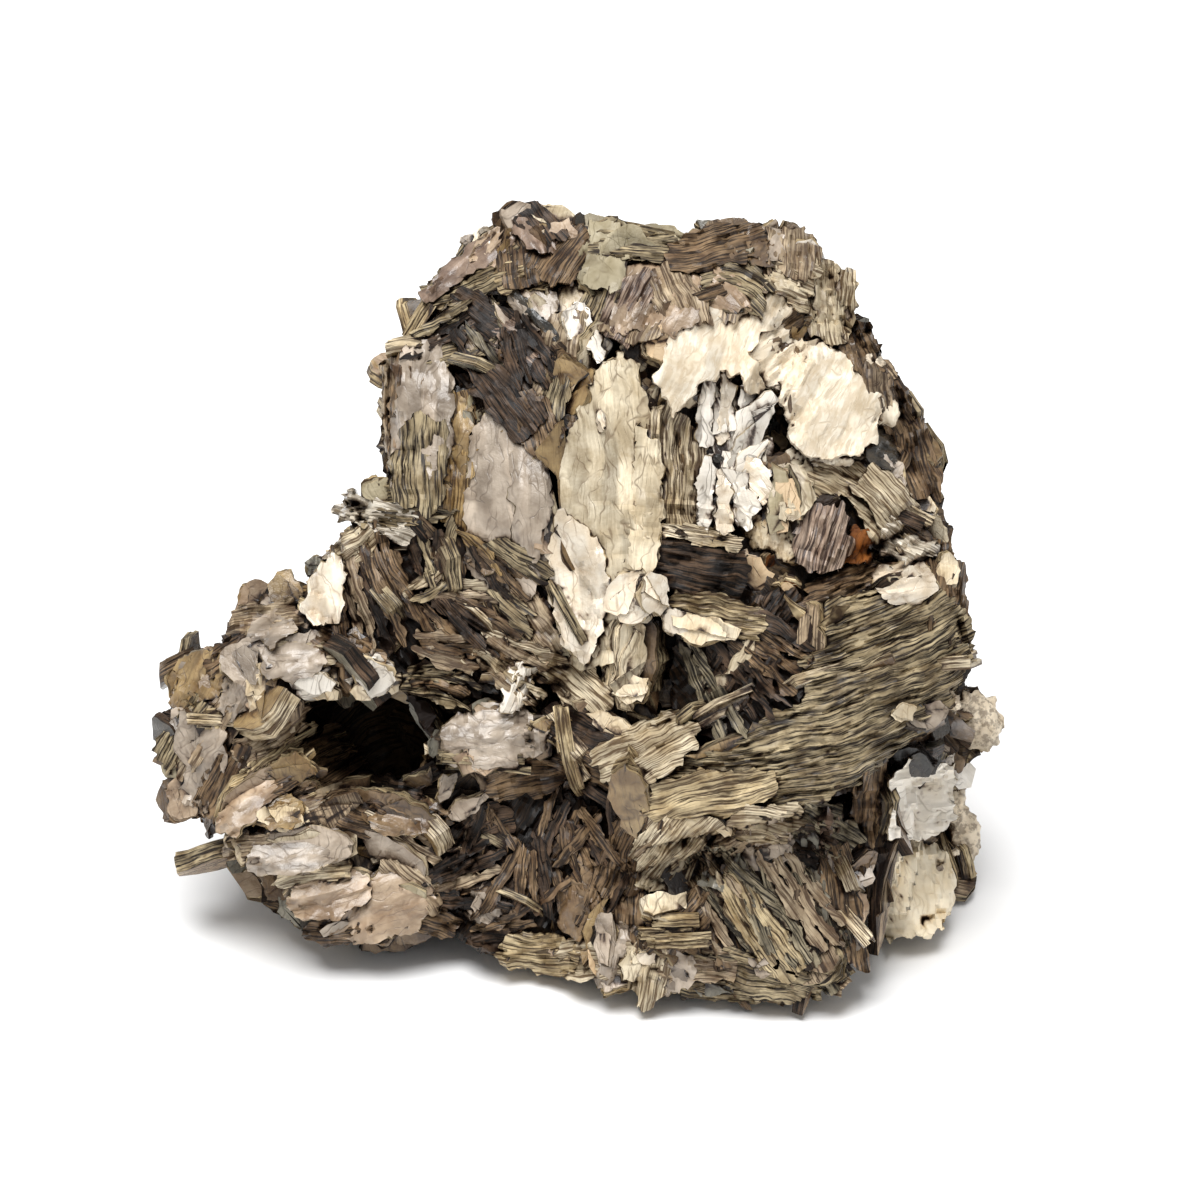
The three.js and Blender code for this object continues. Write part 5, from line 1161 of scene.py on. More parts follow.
def placed(u, v, proud, size, turns):
    """Where a crystal goes: on the front, turned, standing proud of it."""
    turn = Euler([math.radians(t) for t in turns], "XYZ").to_matrix()
    half = [abs(turn[2][i]) * size[i] / 2 for i in range(3)]
    share = 1 - abs(turn[2][2])
    seen_wide = abs(turn[0][0]) * size[0] + abs(turn[0][1]) * size[1]
    seen_tall = abs(turn[1][0]) * size[0] + abs(turn[1][1]) * size[1]
    depth = skin_under(u, v, seen_wide, seen_tall)
    depth += proud - ROOTED - half[2] - share * (half[0] + half[1])
    return FRONT @ Matrix.Translation((u, v, depth)) @ turn.to_4x4()


def grow_rows(name, rows, seed):
    """One piece from the crystals that are listed one by one."""
    region = Region(name)
    for number, row in enumerate(rows):
        *habit, face, edge = [word for word in row if isinstance(word, str)]
        habit = habit[0] if habit else "plate"
        numbers = [size for size in row if not isinstance(size, str)]
        u, v, proud, wide, tall, thick, roll, tip, turn = numbers + [0] * (9 - len(numbers))
        size = (wide * LAPPED, tall * LAPPED, thick)
        rng = random.Random(seed * 77 + number)
        sway = 0 if habit == "ledge" else TILT
        tip += rng.uniform(-sway, sway)
        turn += rng.uniform(-sway, sway)
        to_world = placed(u, v, proud, size, (tip, turn, roll))
        crystal(region, to_world, size, habit, face, edge, seed * 1000 + number)
    return region


def within(spot, outline):
    """True where a place lies inside a closed outline."""
    inside = False
    for (x, y), (last_x, last_y) in zip(outline, outline[-1:] + outline[:-1]):
        if (y > spot.y) != (last_y > spot.y):
            if spot.x < x + (spot.y - y) * (last_x - x) / (last_y - y):
                inside = not inside
    return inside


def ruled_patch(region, seed, outline, roll, spacing, relief, proud, finish,
                upward=0, bow=0, aside=0, edge=None):
    """A broad patch of sheets: a fine grid, drawn in and out ledge by ledge along its bowed
    lines, with a ragged outline and a thickness behind it. The sheets are seen edge-on, or
    cleaved open where the patch has an edge of another finish."""
    cleaved = edge is not None
    thick = PLATE_DEPTH if cleaved else PATCH_DEPTH
    swell, ledges, chips, slant = CLEAVED_STEPS if cleaved else EDGE_STEPS
    rng = random.Random(seed)
    middle = Vector((sum(p[0] for p in outline), sum(p[1] for p in outline))) / len(outline)
    turn = Matrix.Rotation(math.radians(roll), 2)
    back = turn.inverted()
    local = []
    for point in outline:
        spot = back @ (Vector(point) - middle)
        local.append((spot.x, spot.y - bow * spot.x * spot.x))
    lows = [min(p[i] for p in local) - GRID_SPARE for i in (0, 1)]
    highs = [max(p[i] for p in local) + GRID_SPARE for i in (0, 1)]
    shift = somewhere(rng)
    bm, grain, tone = grained()

    def at(x, y, z):
        return noise.noise(Vector((x, y, z)) + shift)

    cells = [
        max(4, round((highs[0] - lows[0]) / GRID_ALONG)),
        max(4, round((highs[1] - lows[1]) / min(spacing * GRID_ACROSS, WIDEST_CELL))),
    ]
    bmesh.ops.create_grid(bm, x_segments=cells[0], y_segments=cells[1], size=1)
    slot = region.finish_index(finish)
    edge_slot = region.finish_index(edge or finish)
    for vert in bm.verts:
        along = lows[0] + (vert.co.x + 1) / 2 * (highs[0] - lows[0])
        across = lows[1] + (vert.co.y + 1) / 2 * (highs[1] - lows[1])
        vert.co = (along, across, 0)
    ragged = []
    for item in bm.faces:
        spot = item.calc_center_median()
        stray = noise.noise_vector(Vector((spot.x * 0.5, spot.y * 0.9, 0)) + shift)
        most = 0.7 if cleaved else 1
        spot = Vector((spot.x + stray.x * RAGGED[0] * most, spot.y + stray.y * RAGGED[1] * most))
        if not within(spot, local):
            ragged.append(item)
    bmesh.ops.delete(bm, geom=ragged, context="FACES")
    rim = [v for v in bm.verts if v.is_boundary]
    for _ in range(RIM_ROUNDS):
        moved = []
        for vert in rim:
            beside = [e.other_vert(vert).co for e in vert.link_edges if e.is_boundary]
            moved.append(vert.co.lerp(sum(beside, Vector()) / len(beside), 0.5))
        for vert, spot in zip(rim, moved):
            vert.co = spot
    for vert in rim:
        jag = noise.noise_vector(vert.co * 0.45 + shift) * RIM_JAG
        jag += noise.noise_vector(vert.co * 1.4 + shift) * RIM_JAG * 0.45
        vert.co += Vector((jag.x, jag.y, 0))
    half = (highs[1] - lows[1]) / 2
    heart = (highs[1] + lows[1]) / 2
    for vert in bm.verts:
        along, across = vert.co.x, vert.co.y
        wave = 1.1 * at(along * 0.11, across * 0.16, 0) + 0.35 * at(along * 0.42, across * 0.3, 5)
        level = math.floor((across + wave) / spacing)
        part = (across + wave) / spacing - level
        slow = at(along * 0.09, level * 0.23, 9)
        ledge = at(along * 0.28, level * 7.3, 0)
        chip = at(along * 1.3, level * 3.1, 3)
        out = relief * (swell * slow + ledges * ledge + chips * chip) - slant * part
        if cleaved:
            out -= DROOP * (abs(across - heart) / half) ** 3
        flat = turn @ Vector((along, across + bow * along * along)) + middle
        depth = broad_skin(flat.x, flat.y) + proud - ROOTED
        depth += aside * (flat.x - middle.x) + upward * (flat.y - middle.y)
        if cleaved:
            vert[grain] = Vector((across + wave, along, out)) + shift
        else:
            vert[grain] = Vector((along, out, across + wave)) + shift
        vert[tone] = 0.5 + 0.7 * at(along * 0.1, level * 5.7, 1)
        vert.co = (flat.x, flat.y, depth + out)
    grown = bmesh.ops.extrude_face_region(bm, geom=bm.faces[:])["geom"]
    behind = [g for g in grown if isinstance(g, bmesh.types.BMVert)]
    bmesh.ops.translate(bm, verts=behind, vec=(0, 0, -thick))
    for item in bm.faces:
        item.material_index = slot
    if cleaved:
        for vert in behind:
            vert[grain] -= Vector((0, 0, thick))
        hidden = set(behind)
        walls = [e for e in bm.edges if (e.verts[0] in hidden) != (e.verts[1] in hidden)]
        for wall in walls:
            for item in wall.link_faces:
                item.material_index = edge_slot
        split = bmesh.ops.subdivide_edges(bm, edges=walls, cuts=4)["geom_inner"]
        for vert in [g for g in split if isinstance(g, bmesh.types.BMVert)]:
            stray = noise.noise_vector(Vector((vert.co.x * 0.3, vert.co.y * 0.3, vert.co.z * 2.3)))
            vert.co += Vector((stray.x * 0.6, stray.y * 0.6, 0))
        # sorted by place, so that each run numbers them alike
        bm.verts.sort(key=lambda v: v.co.x + 997 * v.co.y + 997 ** 2 * v.co.z)
    bmesh.ops.recalc_face_normals(bm, faces=bm.faces[:])
    if bm.calc_volume(signed=True) < 0:
        bmesh.ops.reverse_faces(bm, faces=bm.faces[:])
    bmesh.ops.transform(bm, matrix=FRONT, verts=bm.verts[:])
    region.add(bm)


def torn_block(u, v, long, tall, roll, rng):
    """The ragged outline of a book seen edge-on."""
    turn = Matrix.Rotation(math.radians(roll), 2)
    outline = []
    for x, y in BLOCK:
        x += rng.uniform(-0.09, 0.09)
        y += rng.uniform(-0.13, 0.13)
        spot = turn @ Vector(((long + BLOCK_SPARE) * x, (tall + BLOCK_SPARE) * y))
        outline.append((u + spot.x, v + spot.y))
    return outline


def grow_ruled(region, rows, seed):
    """Broad patches of sheets seen edge-on."""
    for number, row in enumerate(rows):
        ruled_patch(region, seed + number, *row)


def grow_cleaved(region, rows, seed):
    """Broad plates that show a cleavage face."""
    for number, row in enumerate(rows):
        face, edge, *lie = row[5:]
        ruled_patch(region, seed + number, *row[:5], face, *lie, edge=edge)


def grow_edge_books(region, rows, seed):
    """Books seen edge-on, each with a ragged outline of its own."""
    for number, (u, v, long, tall, roll, proud, finish, *lie) in enumerate(rows):
        rng = random.Random(seed + number)
        spacing = rng.uniform(*BLOCK_SPACING)
        outline = torn_block(u, v, long, tall, roll, rng)
        row = (outline, roll, spacing, BLOCK_RELIEF, proud, finish)
        ruled_patch(region, seed + 100 + number, *row, *lie)


def grow_blade_runs(region, rows, seed):
    """Thin blades set edge-on one beside the next, over dark sheets of painted shade in the hollows
    behind them.
    """
    # the dark sheets of painted shade go down first
    for number, (outline, roll) in enumerate(SHADE_SHEETS):
        row = (outline, roll, BLOCK_SPACING[1], BLOCK_RELIEF, SHADE_SHEET_PROUD, HOLLOW_SHADE)
        ruled_patch(region, seed - 100 + number, *row)
    for number, row in enumerate(rows):
        u, v, long, roll, count, apart, turning, proud, finishes, *bow = row
        bow = bow[0] if bow else 0
        rng = random.Random(seed + number)
        for each in range(count):
            place = each - (count - 1) / 2
            away = place * apart * RUN_APART
            turned = roll + turning * place + rng.uniform(-3, 3)
            slant = math.radians(roll + 90)
            x = u + math.cos(slant) * away
            y = v + math.sin(slant) * away
            reach = long * rng.uniform(0.75, 1.1)
            outline = torn_block(x, y, reach, BLADE_WIDE, turned, rng)
            high = proud + rng.uniform(-0.9, 0.9)
            row = (outline, turned, BLADE_SHEET, BLADE_RELIEF, high, rng.choice(finishes))
            ruled_patch(region, seed * 100 + number * 100 + each, *row, bow=bow)


def grow_stacks(region, stacks, seed):
    """Books lying edge-on to the viewer, as many thin ledges one above the next."""
    for number, row in enumerate(stacks):
        u, v, proud, length, depth, height, roll, count, faces, edges = row
        rng = random.Random(seed * 1000 + number)
        along = Vector((math.cos(math.radians(roll)), math.sin(math.radians(roll)), 0))
        above = Vector((-along.y, along.x, 0))
        for each in range(count):
            level = ((each + 0.5) / count - 0.5) * height
            slid = rng.uniform(-0.12, 0.12) * length
            spot = Vector((u, v, 0)) + above * level + along * slid
            size = (
                length * rng.uniform(0.78, 1.06),
                depth * rng.uniform(0.8, 1.1),
                height / count * rng.uniform(1.5, 2.3),
            )
            turns = (90 + rng.uniform(-5, 5), 0, roll + rng.uniform(-2.4, 2.4))
            to_world = placed(spot.x, spot.y, proud + rng.uniform(-0.6, 0.6), size, turns)
            key = seed * 1000000 + number * 1000 + each
            look = (rng.choice(faces), rng.choice(edges))
            crystal(region, to_world, size, "ledge", *look, key)


def grow_patches(region, patches, seed):
    """Scatters small crystals over patches of the front."""
    for number, row in enumerate(patches):
        u, v, wide, tall, count, proud, size, turns, sway, *habit, faces, edge = row
        habit = habit[0] if habit else "flake"
        rng = random.Random(seed * 1000 + number)
        for each in range(round(count * SPARSE)):
            x = u + rng.uniform(-0.5, 0.5) * wide
            y = v + rng.uniform(-0.5, 0.5) * tall
            if skin_at(x, y) is None:
                continue
            grown = rng.uniform(0.6, 1.35)
            one = [s * grown * rng.uniform(0.8, 1.2) for s in size]
            one = [one[0] * GROWN, one[1] * GROWN, one[2]]
            turned = [t + rng.uniform(-1, 1) * s for t, s in zip(turns, sway)]
            out = proud + rng.uniform(-1.6, 0.0)
            to_world = placed(x, y, out, one, turned)
            key = seed * 1000000 + number * 1000 + each
            crystal(region, to_world, one, habit, rng.choice(faces), edge, key, 1.25)


def grow_fans(region, fans, seed):
    """Blades that spread from a point on the front."""
    for number, row in enumerate(fans):
        u, v, first, last, near, far, count, proud, wide, thick, turn, habit = row[:12]
        faces, edge = row[12:]
        rng = random.Random(seed * 1000 + number)
        for each in range(count):
            share = (each + rng.uniform(0.1, 0.9)) / count
            angle = math.radians(first + (last - first) * share)
            start = near + rng.uniform(0, 0.25) * (far - near)
            stop = start + (far - start) * rng.uniform(0.55, 1)
            middle = (start + stop) / 2
            x, y = u + math.cos(angle) * middle, v + math.sin(angle) * middle
            if skin_at(x, y) is None:
                continue
            size = (wide * rng.uniform(0.7, 1.3), (stop - start) * 1.1, thick)
            roll = math.degrees(angle) - 90
            turns = (rng.uniform(-10, 10), turn + rng.uniform(-20, 20), roll)
            to_world = placed(x, y, proud + rng.uniform(-0.8, 0.6), size, turns)
            key = seed * 1000000 + number * 1000 + each
            crystal(region, to_world, size, habit, rng.choice(faces), edge, key, 1.2)


def knobs(bm, u, v, proud, wide, tall, deep, roll, count, knob, seed):
    """Rounded lumps heaped over an oval place on the front."""
    rng = random.Random(seed)
    lean = Matrix.Rotation(math.radians(roll), 3, "Z")
    depth = skin_under(u, v, wide, tall) + proud - ROOTED - deep * 0.5
    core = Matrix.Diagonal((wide * 0.47, tall * 0.47, deep * 0.55, 1))
    place = Matrix.Translation((u, v, depth)) @ lean.to_4x4() @ core
    bmesh.ops.create_icosphere(bm, subdivisions=4, radius=1, matrix=place)
    for _ in range(count):
        angle = rng.uniform(0, math.tau)
        far = math.sqrt(rng.random())
        spot = lean @ Vector((math.cos(angle) * far * wide / 2, math.sin(angle) * far * tall / 2, 0))
        size = knob * rng.uniform(0.5, 1.15) * (1.15 - 0.4 * far)
        depth = skin_at(u + spot.x, v + spot.y)
        if depth is None:
            continue
        depth += proud - ROOTED - size * 0.55 - deep * 0.35 * far * far
        turn = Euler([rng.uniform(0, math.tau) for _ in range(3)]).to_matrix().to_4x4()
        stretch = Matrix.Diagonal((1, rng.uniform(0.6, 1), rng.uniform(0.6, 1), 1))
        place = Matrix.Translation((u + spot.x, v + spot.y, depth)) @ turn @ stretch
        bmesh.ops.create_icosphere(bm, subdivisions=2, radius=size / 2 * 1.2, matrix=place)


def remeshed(mesh, grid):
    """The same solid as one even skin of small faces."""
    shell = stand("shell", mesh)
    even = shell.modifiers.new("even", "REMESH")
    even.mode = "VOXEL"
    even.voxel_size = grid
    bpy.context.view_layer.update()
    seen = shell.evaluated_get(bpy.context.evaluated_depsgraph_get())
    result = bpy.data.meshes.new_from_object(seen)
    bpy.data.objects.remove(shell)
    return result


def crust_piece(name, finish, heaps, seed):
    """White albite or gritty crystals grown as a lumpy crust."""
    heap = bmesh.new()
    for number, row in enumerate(heaps):
        knobs(heap, *row, seed * 100 + number)
    mesh = bpy.data.meshes.new(name)
    heap.to_mesh(mesh)
    heap.free()
    mesh = remeshed(mesh, CRUST_GRID)
    mesh.name = name
    bm, grain, tone = grained(mesh)
    bm.normal_update()
    moves = []
    for vert in bm.verts:
        spot = vert.co
        cells = noise.voronoi(spot * 0.75)[0]
        lump = noise.noise(spot * 0.9)
        fine = noise.noise(Vector((spot.x * 2.6, spot.y * 1.2, spot.z * 2.6)))
        moves.append(vert.normal * (0.55 * (0.45 - cells[0]) + 0.35 * lump + 0.22 * fine))
    for vert, move in zip(bm.verts, moves):
        vert[grain] = vert.co
        vert[tone] = 0.5 + 0.5 * noise.noise(vert.co * 0.35)
        vert.co += move
    bmesh.ops.transform(bm, matrix=FRONT, verts=bm.verts[:])
    bm.to_mesh(mesh)
    bm.free()
    mesh.materials.append(material_of(finish))
    mesh.shade_smooth()
    return stand(name, mesh)


def mass_piece(name, source):
    """The body that the crystals grow from: the whole solid, drawn in a little and broken
    into small stepped books, each lying its own way."""
    merged = bmesh.new()
    merged.from_mesh(source)
    bmesh.ops.remove_doubles(merged, verts=merged.verts[:], dist=0.00001)
    bmesh.ops.transform(merged, matrix=FRONT.inverted(), verts=merged.verts[:])
    mesh = bpy.data.meshes.new(name)
    merged.to_mesh(mesh)
    merged.free()
    mesh = remeshed(mesh, MASS_GRID)
    mesh.name = name
    bm, grain, tone = grained(mesh)
    bm.normal_update()
    bm.verts.index_update()
    lean_of = {}
    cell_of = []
    moves = []
    for vert in bm.verts:
        spot = vert.co + 1.5 * Vector(noise.noise_vector(vert.co * 0.2))
        cell = noise.voronoi(spot * PLATE_CELL)[1][0]
        key = tuple(round(c, 4) for c in cell)
        if key not in lean_of:
            rng = random.Random(str(key))
            turn = Euler([rng.uniform(-1.2, 1.2), rng.uniform(-0.9, 0.9), rng.uniform(-0.9, 0.9)])
            lean_of[key] = (turn.to_matrix(), rng.random(), rng.randrange(len(MASS_LOOKS)))
        turn, shade, look = lean_of[key]
        cell_of.append(look)
        local = turn @ vert.co
        vert[grain] = Vector((local.x, local.z, local.y)) + cell * 7
        vert[tone] = shade
        level = local.y / PLATE_STEP + noise.noise(vert.co * 0.4) * 0.6
        saw = level - math.floor(level)
        in_front = vert.normal.z > IN_FRONT
        deep = 0.9 if in_front else STEP_DEEP
        moves.append(vert.normal * (-SINK - deep * saw + 0.5 * noise.noise(vert.co * 0.7)))
    for item in bm.faces:
        in_front = item.normal.z > IN_FRONT
        item.material_index = 0 if in_front else 1 + cell_of[item.verts[0].index]
    for vert, move in zip(bm.verts, moves):
        vert.co += move
    bmesh.ops.transform(bm, matrix=FRONT, verts=bm.verts[:])
    bm.to_mesh(mesh)
    bm.free()
    for look in ("root",) + MASS_LOOKS:
        mesh.materials.append(material_of(look))
    smooth(mesh)
    return stand(name, mesh)


FILL_LOOKS = (
    ("plate", "lavender", OLIVE),
    ("plate", "linen", TAN),
    ("plate", "umber", BROWN),
    ("book", "bark", OLIVE),
    ("plate", "sage", OLIVE),
    ("disc", "blush", TAN),
    ("plate", "honey", CREAM),
    ("book", "slate", DARK),
    ("flake", "silver", CREAM),
)


def fill_piece(name, source, seed):
    """Plates over the sides, the back and the top, where the solid's own books stand."""
    rng = random.Random(seed)
    region = Region(name)
    faces = bmesh.new()
    faces.from_mesh(source)
    outward = FRONT.to_3x3() @ Vector((0, 0, 1))
    outward.normalize()
    wanted = []
    reach = []
    total = 0.0
    for item in faces.faces:
        middle = item.calc_center_median()
        seen = item.normal.dot(outward) > FILL_BEHIND or item.normal.z < FILL_UNDER
        if seen or middle.z < cad_low.z + FILL_LOW * MM:
            continue
        total += item.calc_area()
        wanted.append((middle, item.normal.copy()))
        reach.append(total)
    for number in range(FILL_BOOKS):
        middle, normal = rng.choices(wanted, cum_weights=reach)[0]
        habit, face, edge = rng.choice(FILL_LOOKS)
        size = [rng.uniform(6, 15), rng.uniform(7, 18), rng.uniform(1.4, 3.4)]
        turn = normal.to_track_quat("Z", "Y").to_matrix().to_4x4()
        sway = Euler((rng.uniform(-0.35, 0.35), rng.uniform(-0.35, 0.35), rng.uniform(0, 6.3)))
        sunk = size[2] * 0.5 + 0.4
        if rng.random() < 0.5:
            sway = Euler((rng.uniform(1.1, 1.6), rng.uniform(-0.4, 0.4), rng.uniform(0, 6.3)))
            sunk = size[1] * 0.5 - 0.6
        place = (
            Matrix.Translation(middle - normal * sunk * MM)
            @ turn
            @ sway.to_matrix().to_4x4()
            @ Matrix.Scale(MM, 4)
        )
        crystal(region, place, size, habit, face, edge, seed * 10000 + number, FILL_COARSE)
    faces.free()
    return region.piece()


# ---------------------------------------------------------------- looks
VECTORS = "ShaderNodeVectorMath"
MASKS = ("Lines", "Steps", "Mottle", "Painted shade", "Tone", "Fine")


def filled(tree, sockets, values):
    """Links or sets each socket in turn; None leaves one as it is."""
    for socket, value in zip(sockets, values):
        if isinstance(value, bpy.types.NodeSocket):
            tree.links.new(value, socket)
        elif value is not None:
            socket.default_value = value


def maths(tree, operation, *values, kind="ShaderNodeMath"):
    """One step of arithmetic on values, or on vectors."""
    node = tree.nodes.new(kind)
    node.operation = operation
    filled(tree, node.inputs, values)
    return node.outputs[0]


def clouds(tree, vector, scale, detail, roughness, distortion=0.0):
    """Soft noise at a place."""
    node = tree.nodes.new("ShaderNodeTexNoise")
    names = ("Vector", "Scale", "Detail", "Roughness", "Distortion")
    sockets = [node.inputs[name] for name in names]
    filled(tree, sockets, (vector, scale, detail, roughness, distortion))
    return node.outputs


def span(tree, value, low, high):
    """0 at low, 1 at high, and held there."""
    node = tree.nodes.new("ShaderNodeMapRange")
    filled(tree, node.inputs, (value, low, high))
    return node.outputs["Result"]


def mixed(tree, share, one, two, kind="MIX"):
    """Two colours mixed by share."""
    node = tree.nodes.new("ShaderNodeMix")
    node.data_type = "RGBA"
    node.blend_type = kind
    colour_sockets = [s for s in node.inputs if s.type == "RGBA"]
    filled(tree, [node.inputs[0]] + colour_sockets, (share, one, two))
    return [s for s in node.outputs if s.type == "RGBA"][0]


def read(tree, name):
    """The outputs of an attribute that the mesh carries."""
    node = tree.nodes.new("ShaderNodeAttribute")
    node.attribute_name = name
    return node.outputs


def sheet_group():
    """Masks shared by all the mica: lines along the sheets, a slow mottle, and painted shade in shut-in
    crevices.
    """
    group = bpy.data.node_groups.new("Mica sheet masks", "ShaderNodeTree")
    for name, kind, value in (
        ("Repeats", "NodeSocketVector", (1, 1, 1)),
        ("Terraces", "NodeSocketFloat", 8.0),
        ("Straight", "NodeSocketFloat", 1.0),
    ):
        group.interface.new_socket(name=name, in_out="INPUT", socket_type=kind).default_value = value
    for name in MASKS:
        group.interface.new_socket(name=name, in_out="OUTPUT", socket_type="NodeSocketFloat")
    into = group.nodes.new("NodeGroupInput").outputs
    out = group.nodes.new("NodeGroupOutput").inputs
    grain = read(group, "grain")["Vector"]
    # lines along the sheets
    stretched = maths(group, "MULTIPLY", grain, into["Repeats"], kind=VECTORS)
    lines = span(group, clouds(group, stretched, 1.0, 3.0, 0.62)[0], 0.45, 0.58)
    lines = maths(group, "MULTIPLY", lines, into["Straight"])
    # torn rims of part sheets on the faces
    patchy = clouds(group, grain, 0.35, 2.0, 0.5)[0]
    wide_field = maths(group, "MULTIPLY", grain, (0.2, 0.035, 0.0), kind=VECTORS)
    field = clouds(group, wide_field, 1.0, 1.6, 0.45)[0]
    terraces = maths(group, "MULTIPLY", field, into["Terraces"])
    part = maths(group, "FRACT", terraces)
    rim = maths(group, "MINIMUM", part, maths(group, "SUBTRACT", 1.0, part))
    on_faces = maths(group, "MINIMUM", into["Terraces"], 1.0)
    torn = maths(group, "MULTIPLY", span(group, rim, 0.09, 0.0), on_faces)
    torn = maths(group, "MULTIPLY", torn, span(group, patchy, 0.4, 0.62))
    # fine cracks across the faces
    bent = clouds(group, grain, 0.16, 2.0, 0.55)["Color"]
    off = maths(group, "MULTIPLY_ADD", bent, (9, 14, 0), grain, kind=VECTORS)
    crack = group.nodes.new("ShaderNodeTexVoronoi")
    crack.feature = "DISTANCE_TO_EDGE"
    crack.inputs["Scale"].default_value = 1.0
    crack_field = maths(group, "MULTIPLY", off, (0.3, 0.07, 0.0), kind=VECTORS)
    group.links.new(crack_field, crack.inputs["Vector"])
    cracks = span(group, crack.outputs["Distance"], 0.05, 0.0)
    cracks = maths(group, "MULTIPLY", cracks, on_faces)
    cracks = maths(group, "MULTIPLY", cracks, span(group, patchy, 0.3, 0.55))
    # mottle, and painted shade where a crevice is shut in
    slow = span(group, clouds(group, grain, 0.22, 3.0, 0.6, 0.4)[0], 0.36, 0.64)
    fine = clouds(group, grain, 1.6, 3.0, 0.6)[0]
    broken = maths(group, "MULTIPLY", maths(group, "SUBTRACT", fine, 0.5), 0.5)
    blotch = maths(group, "ADD", read(group, "painted_shade")["Fac"], broken)
    masks = (
        maths(group, "MAXIMUM", maths(group, "MAXIMUM", torn, cracks), lines),
        maths(group, "FLOOR", terraces),
        slow,
        span(group, blotch, 0.32, 0.8),
        read(group, "tone")["Fac"],
        fine,
    )
    filled(group, out, masks)
    return group


SHEET_MASKS = sheet_group()
DULL = 0.2                    # finishes no glossier than this reflect little
# near black and warm brown: painted shade, laid into the colour where a point is shut in
PAINTED_SHADE = rounded((26, 13, 5))
WARM_PAINTED_SHADE = rounded((120, 78, 42))
made = {}


def material_of(finish):
    """The material of one finish, made when first asked for."""
    if finish in made:
        return made[finish]
    light, dark, line, strength, repeats, rough, gloss = FINISHES[finish]
    material = bpy.data.materials.new("Mica " + finish.replace("_", " "))
    material.use_nodes = True
    tree = material.node_tree
    shader = tree.nodes["Principled BSDF"].inputs
    masks = tree.nodes.new("ShaderNodeGroup")
    masks.node_tree = SHEET_MASKS
    filled(tree, masks.inputs, repeats)
    out = masks.outputs
    base = mixed(tree, out["Mottle"], rounded(light), rounded(dark))
    shade = maths(tree, "MULTIPLY_ADD", out["Tone"], 0.74, 0.6)
    toned = maths(tree, "SCALE", base, None, None, shade, kind=VECTORS)
    lined = mixed(tree, maths(tree, "MULTIPLY", out["Lines"], strength), toned, rounded(line))
    # painted shade: a warm brown darkening, then near black in the most shut-in crevices
    warm = maths(tree, "MULTIPLY", out["Painted shade"], 0.85)
    warmed = mixed(tree, warm, lined, WARM_PAINTED_SHADE, "MULTIPLY")
    deep = maths(tree, "MULTIPLY", span(tree, out["Painted shade"], 0.45, 1.0), 0.9)
    tree.links.new(mixed(tree, deep, warmed, PAINTED_SHADE), shader["Base Color"])
    wear = maths(tree, "MULTIPLY_ADD", out["Fine"], 0.24, rough - 0.1)
    tree.links.new(wear, shader["Roughness"])
    shader["IOR"].default_value = 1.57
    shader["Specular IOR Level"].default_value = 0.5 if gloss > DULL else 0.2
    shader["Coat Weight"].default_value = gloss
    shader["Coat Roughness"].default_value = 0.16
    bump = tree.nodes.new("ShaderNodeBump")
    bump.inputs["Strength"].default_value = 0.45
    bump.inputs["Distance"].default_value = 0.0003
    height = maths(tree, "ADD", maths(tree, "MULTIPLY", out["Lines"], -0.7), out["Fine"])
    height = maths(tree, "ADD", height, maths(tree, "MULTIPLY", out["Steps"], 0.5))
    tree.links.new(height, bump.inputs["Height"])
    tree.links.new(bump.outputs["Normal"], shader["Normal"])
    made[finish] = material
    return material


def gather_grime(pieces):
    """Writes how shut in each point is, from 0 in the open to 1 deep in a crevice: painted shade, which
    the materials lay into the mica's colour.
    """
    verts = []
    polys = []
    for piece in pieces:
        first = len(verts)
        verts.extend(v.co for v in piece.data.vertices)
        polys.extend([first + i for i in p.vertices] for p in piece.data.polygons)
    tree = BVHTree.FromPolygons(verts, polys)
    far = LOOK_FAR * MM
    rng = random.Random(7)
    ways = []
    for _ in range(SHADE_WAYS):
        way = Vector((rng.gauss(0, 1), rng.gauss(0, 1), rng.gauss(0, 1)))
        ways.append(way.normalized() * 0.9)
    turn = 0
    for piece in pieces:
        mesh = piece.data
        painted_shade = mesh.attributes.new("painted_shade", "FLOAT", "POINT")
        values = []
        for vert in mesh.vertices:
            normal = vert.normal
            start = vert.co + normal * CLEAR * MM
            shut = 0.0
            for _ in range(LOOKS):
                turn = (turn + 1) % SHADE_WAYS
                hit = tree.ray_cast(start, normal + ways[turn], far)
                if hit[0] is not None:
                    shut += 1 - 0.6 * hit[3] / far
            values.append(shut / LOOKS)
        painted_shade.data.foreach_set("value", values)


def keep_inside(piece):
    """Holds every point inside the solid's own box, just above the floor."""
    for vert in piece.data.vertices:
        spot = vert.co
        spot.x = min(max(spot.x, cad_low.x), cad_high.x)
        spot.y = min(max(spot.y, cad_low.y), cad_high.y)
        spot.z = min(max(spot.z, cad_low.z + FLOOR_GAP), cad_high.z)


# ---------------------------------------------------------------- build
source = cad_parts["mica_cluster"].data
front_mesh = source.copy()
front_mesh.transform(FRONT.inverted())
cad_tree = BVHTree.FromPolygons(
    [v.co for v in front_mesh.vertices], [p.vertices[:] for p in front_mesh.polygons]
)

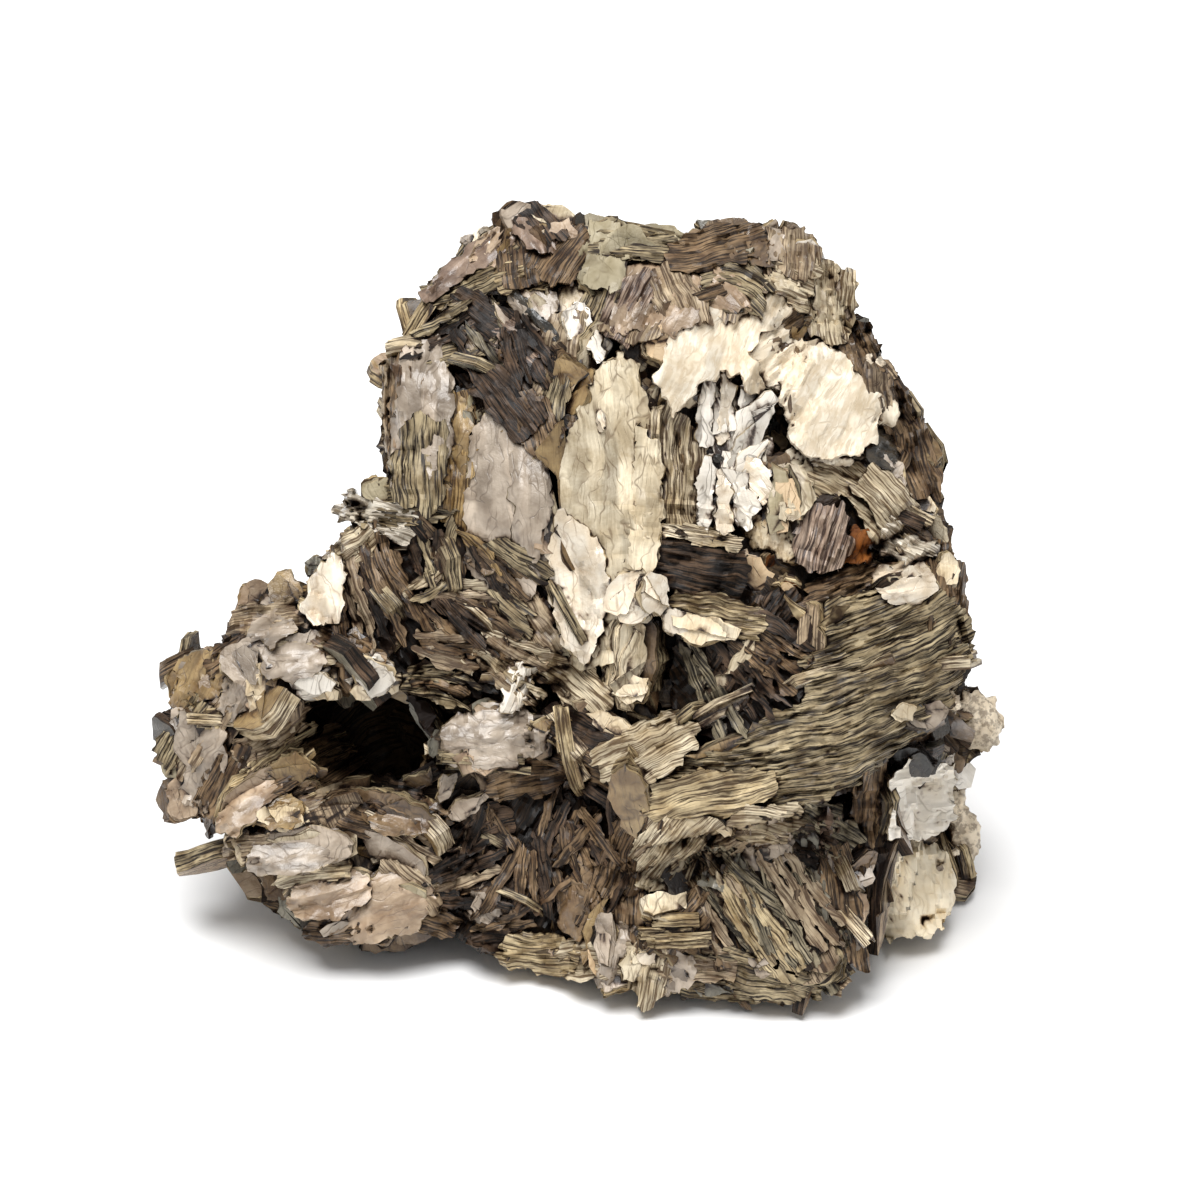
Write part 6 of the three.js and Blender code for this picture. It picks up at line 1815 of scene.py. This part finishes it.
ROWS = {
    "crown_books": CROWN,
    "upper_left_books": UPPER_LEFT,
    "great_plate": CENTRE,
    "dark_books": DARK_BOOKS,
    "olive_books": OLIVE_BOOKS,
    "upper_right_books": UPPER_RIGHT,
    "lower_right_books": LOWER_RIGHT,
    "middle_left_books": MIDDLE_LEFT,
    "fan_blades": BLADES,
    "left_lobe": LEFT_LOBE,
    "right_outgrowth": OUTGROWTH,
}
pieces = [mass_piece("grown_mass", source)]
for number, (name, rows) in enumerate(ROWS.items()):
    pieces.append(grow_rows(name, rows, number + 1).piece())
for name, grow, rows, seed in (
    ("small_flakes", grow_patches, PATCHES, 31),
    ("edge_on_books", grow_stacks, STACKS, 53),
    ("ruled_patches", grow_ruled, RULED_PATCHES, 5300),
    ("edge_books", grow_edge_books, EDGE_BOOKS, 6100),
    ("blade_runs", grow_blade_runs, BLADE_RUNS, 6600),
    ("cleaved_plates", grow_cleaved, CLEAVED_PLATES, 5700),
    ("spreading_blades", grow_fans, FANS, 47),
):
    region = Region(name)
    grow(region, rows, seed)
    pieces.append(region.piece())
for number, (name, (finish, heaps)) in enumerate(CRUSTS.items()):
    pieces.append(crust_piece(name, finish, heaps, 60 + number))
pieces.append(fill_piece("back_books", source, 71))
for piece in pieces:
    keep_inside(piece)
# bakes the painted shade of the crevices into every piece
gather_grime(pieces)
for piece in pieces:
    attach(piece, "root")
    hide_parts("mica_cluster")

# ---------------------------------------------------------------- floor, light and camera
floor_mesh = bpy.data.meshes.new("pale_floor")
floor_bm = bmesh.new()
bmesh.ops.create_grid(floor_bm, x_segments=1, y_segments=1, size=4)
floor_bm.to_mesh(floor_mesh)
floor_bm.free()
floor = stand("pale_floor", floor_mesh)
floor.location.z = cad_low.z
pale = bpy.data.materials.new("Pale floor")
pale.use_nodes = True
plain = pale.node_tree.nodes["Principled BSDF"].inputs
plain["Base Color"].default_value = (0.95, 0.95, 0.95, 1)
plain["Roughness"].default_value = 0.9
floor_mesh.materials.append(pale)

world = bpy.data.worlds.new("Soft studio")
world.use_nodes = True
sky = world.node_tree.nodes["Background"].inputs
sky["Color"].default_value = (1, 1, 1, 1)
sky["Strength"].default_value = 0.45
bpy.context.scene.world = world


# a broad soft sun, along a direction on the lean
sun = bpy.data.lights.new("key_light", "SUN")
sun.angle = math.radians(40)
sun.energy = 3.6
key_light = stand("key_light", sun)
aim = FRONT.to_3x3() @ Vector((0.14, -0.8, -0.6))
key_light.rotation_euler = aim.to_track_quat("-Z", "Y").to_euler()

lens = bpy.data.cameras.new("front_camera")
lens.lens = 100
lens.sensor_width = 36
lens.dof.use_dof = False
camera = stand("front_camera", lens)
camera.location = FRONT @ Vector(CAMERA_AT)
camera.rotation_euler = (math.pi / 2 - LEAN, 0, 0)
bpy.context.scene.camera = camera
bpy.context.scene.view_settings.view_transform = "Standard"
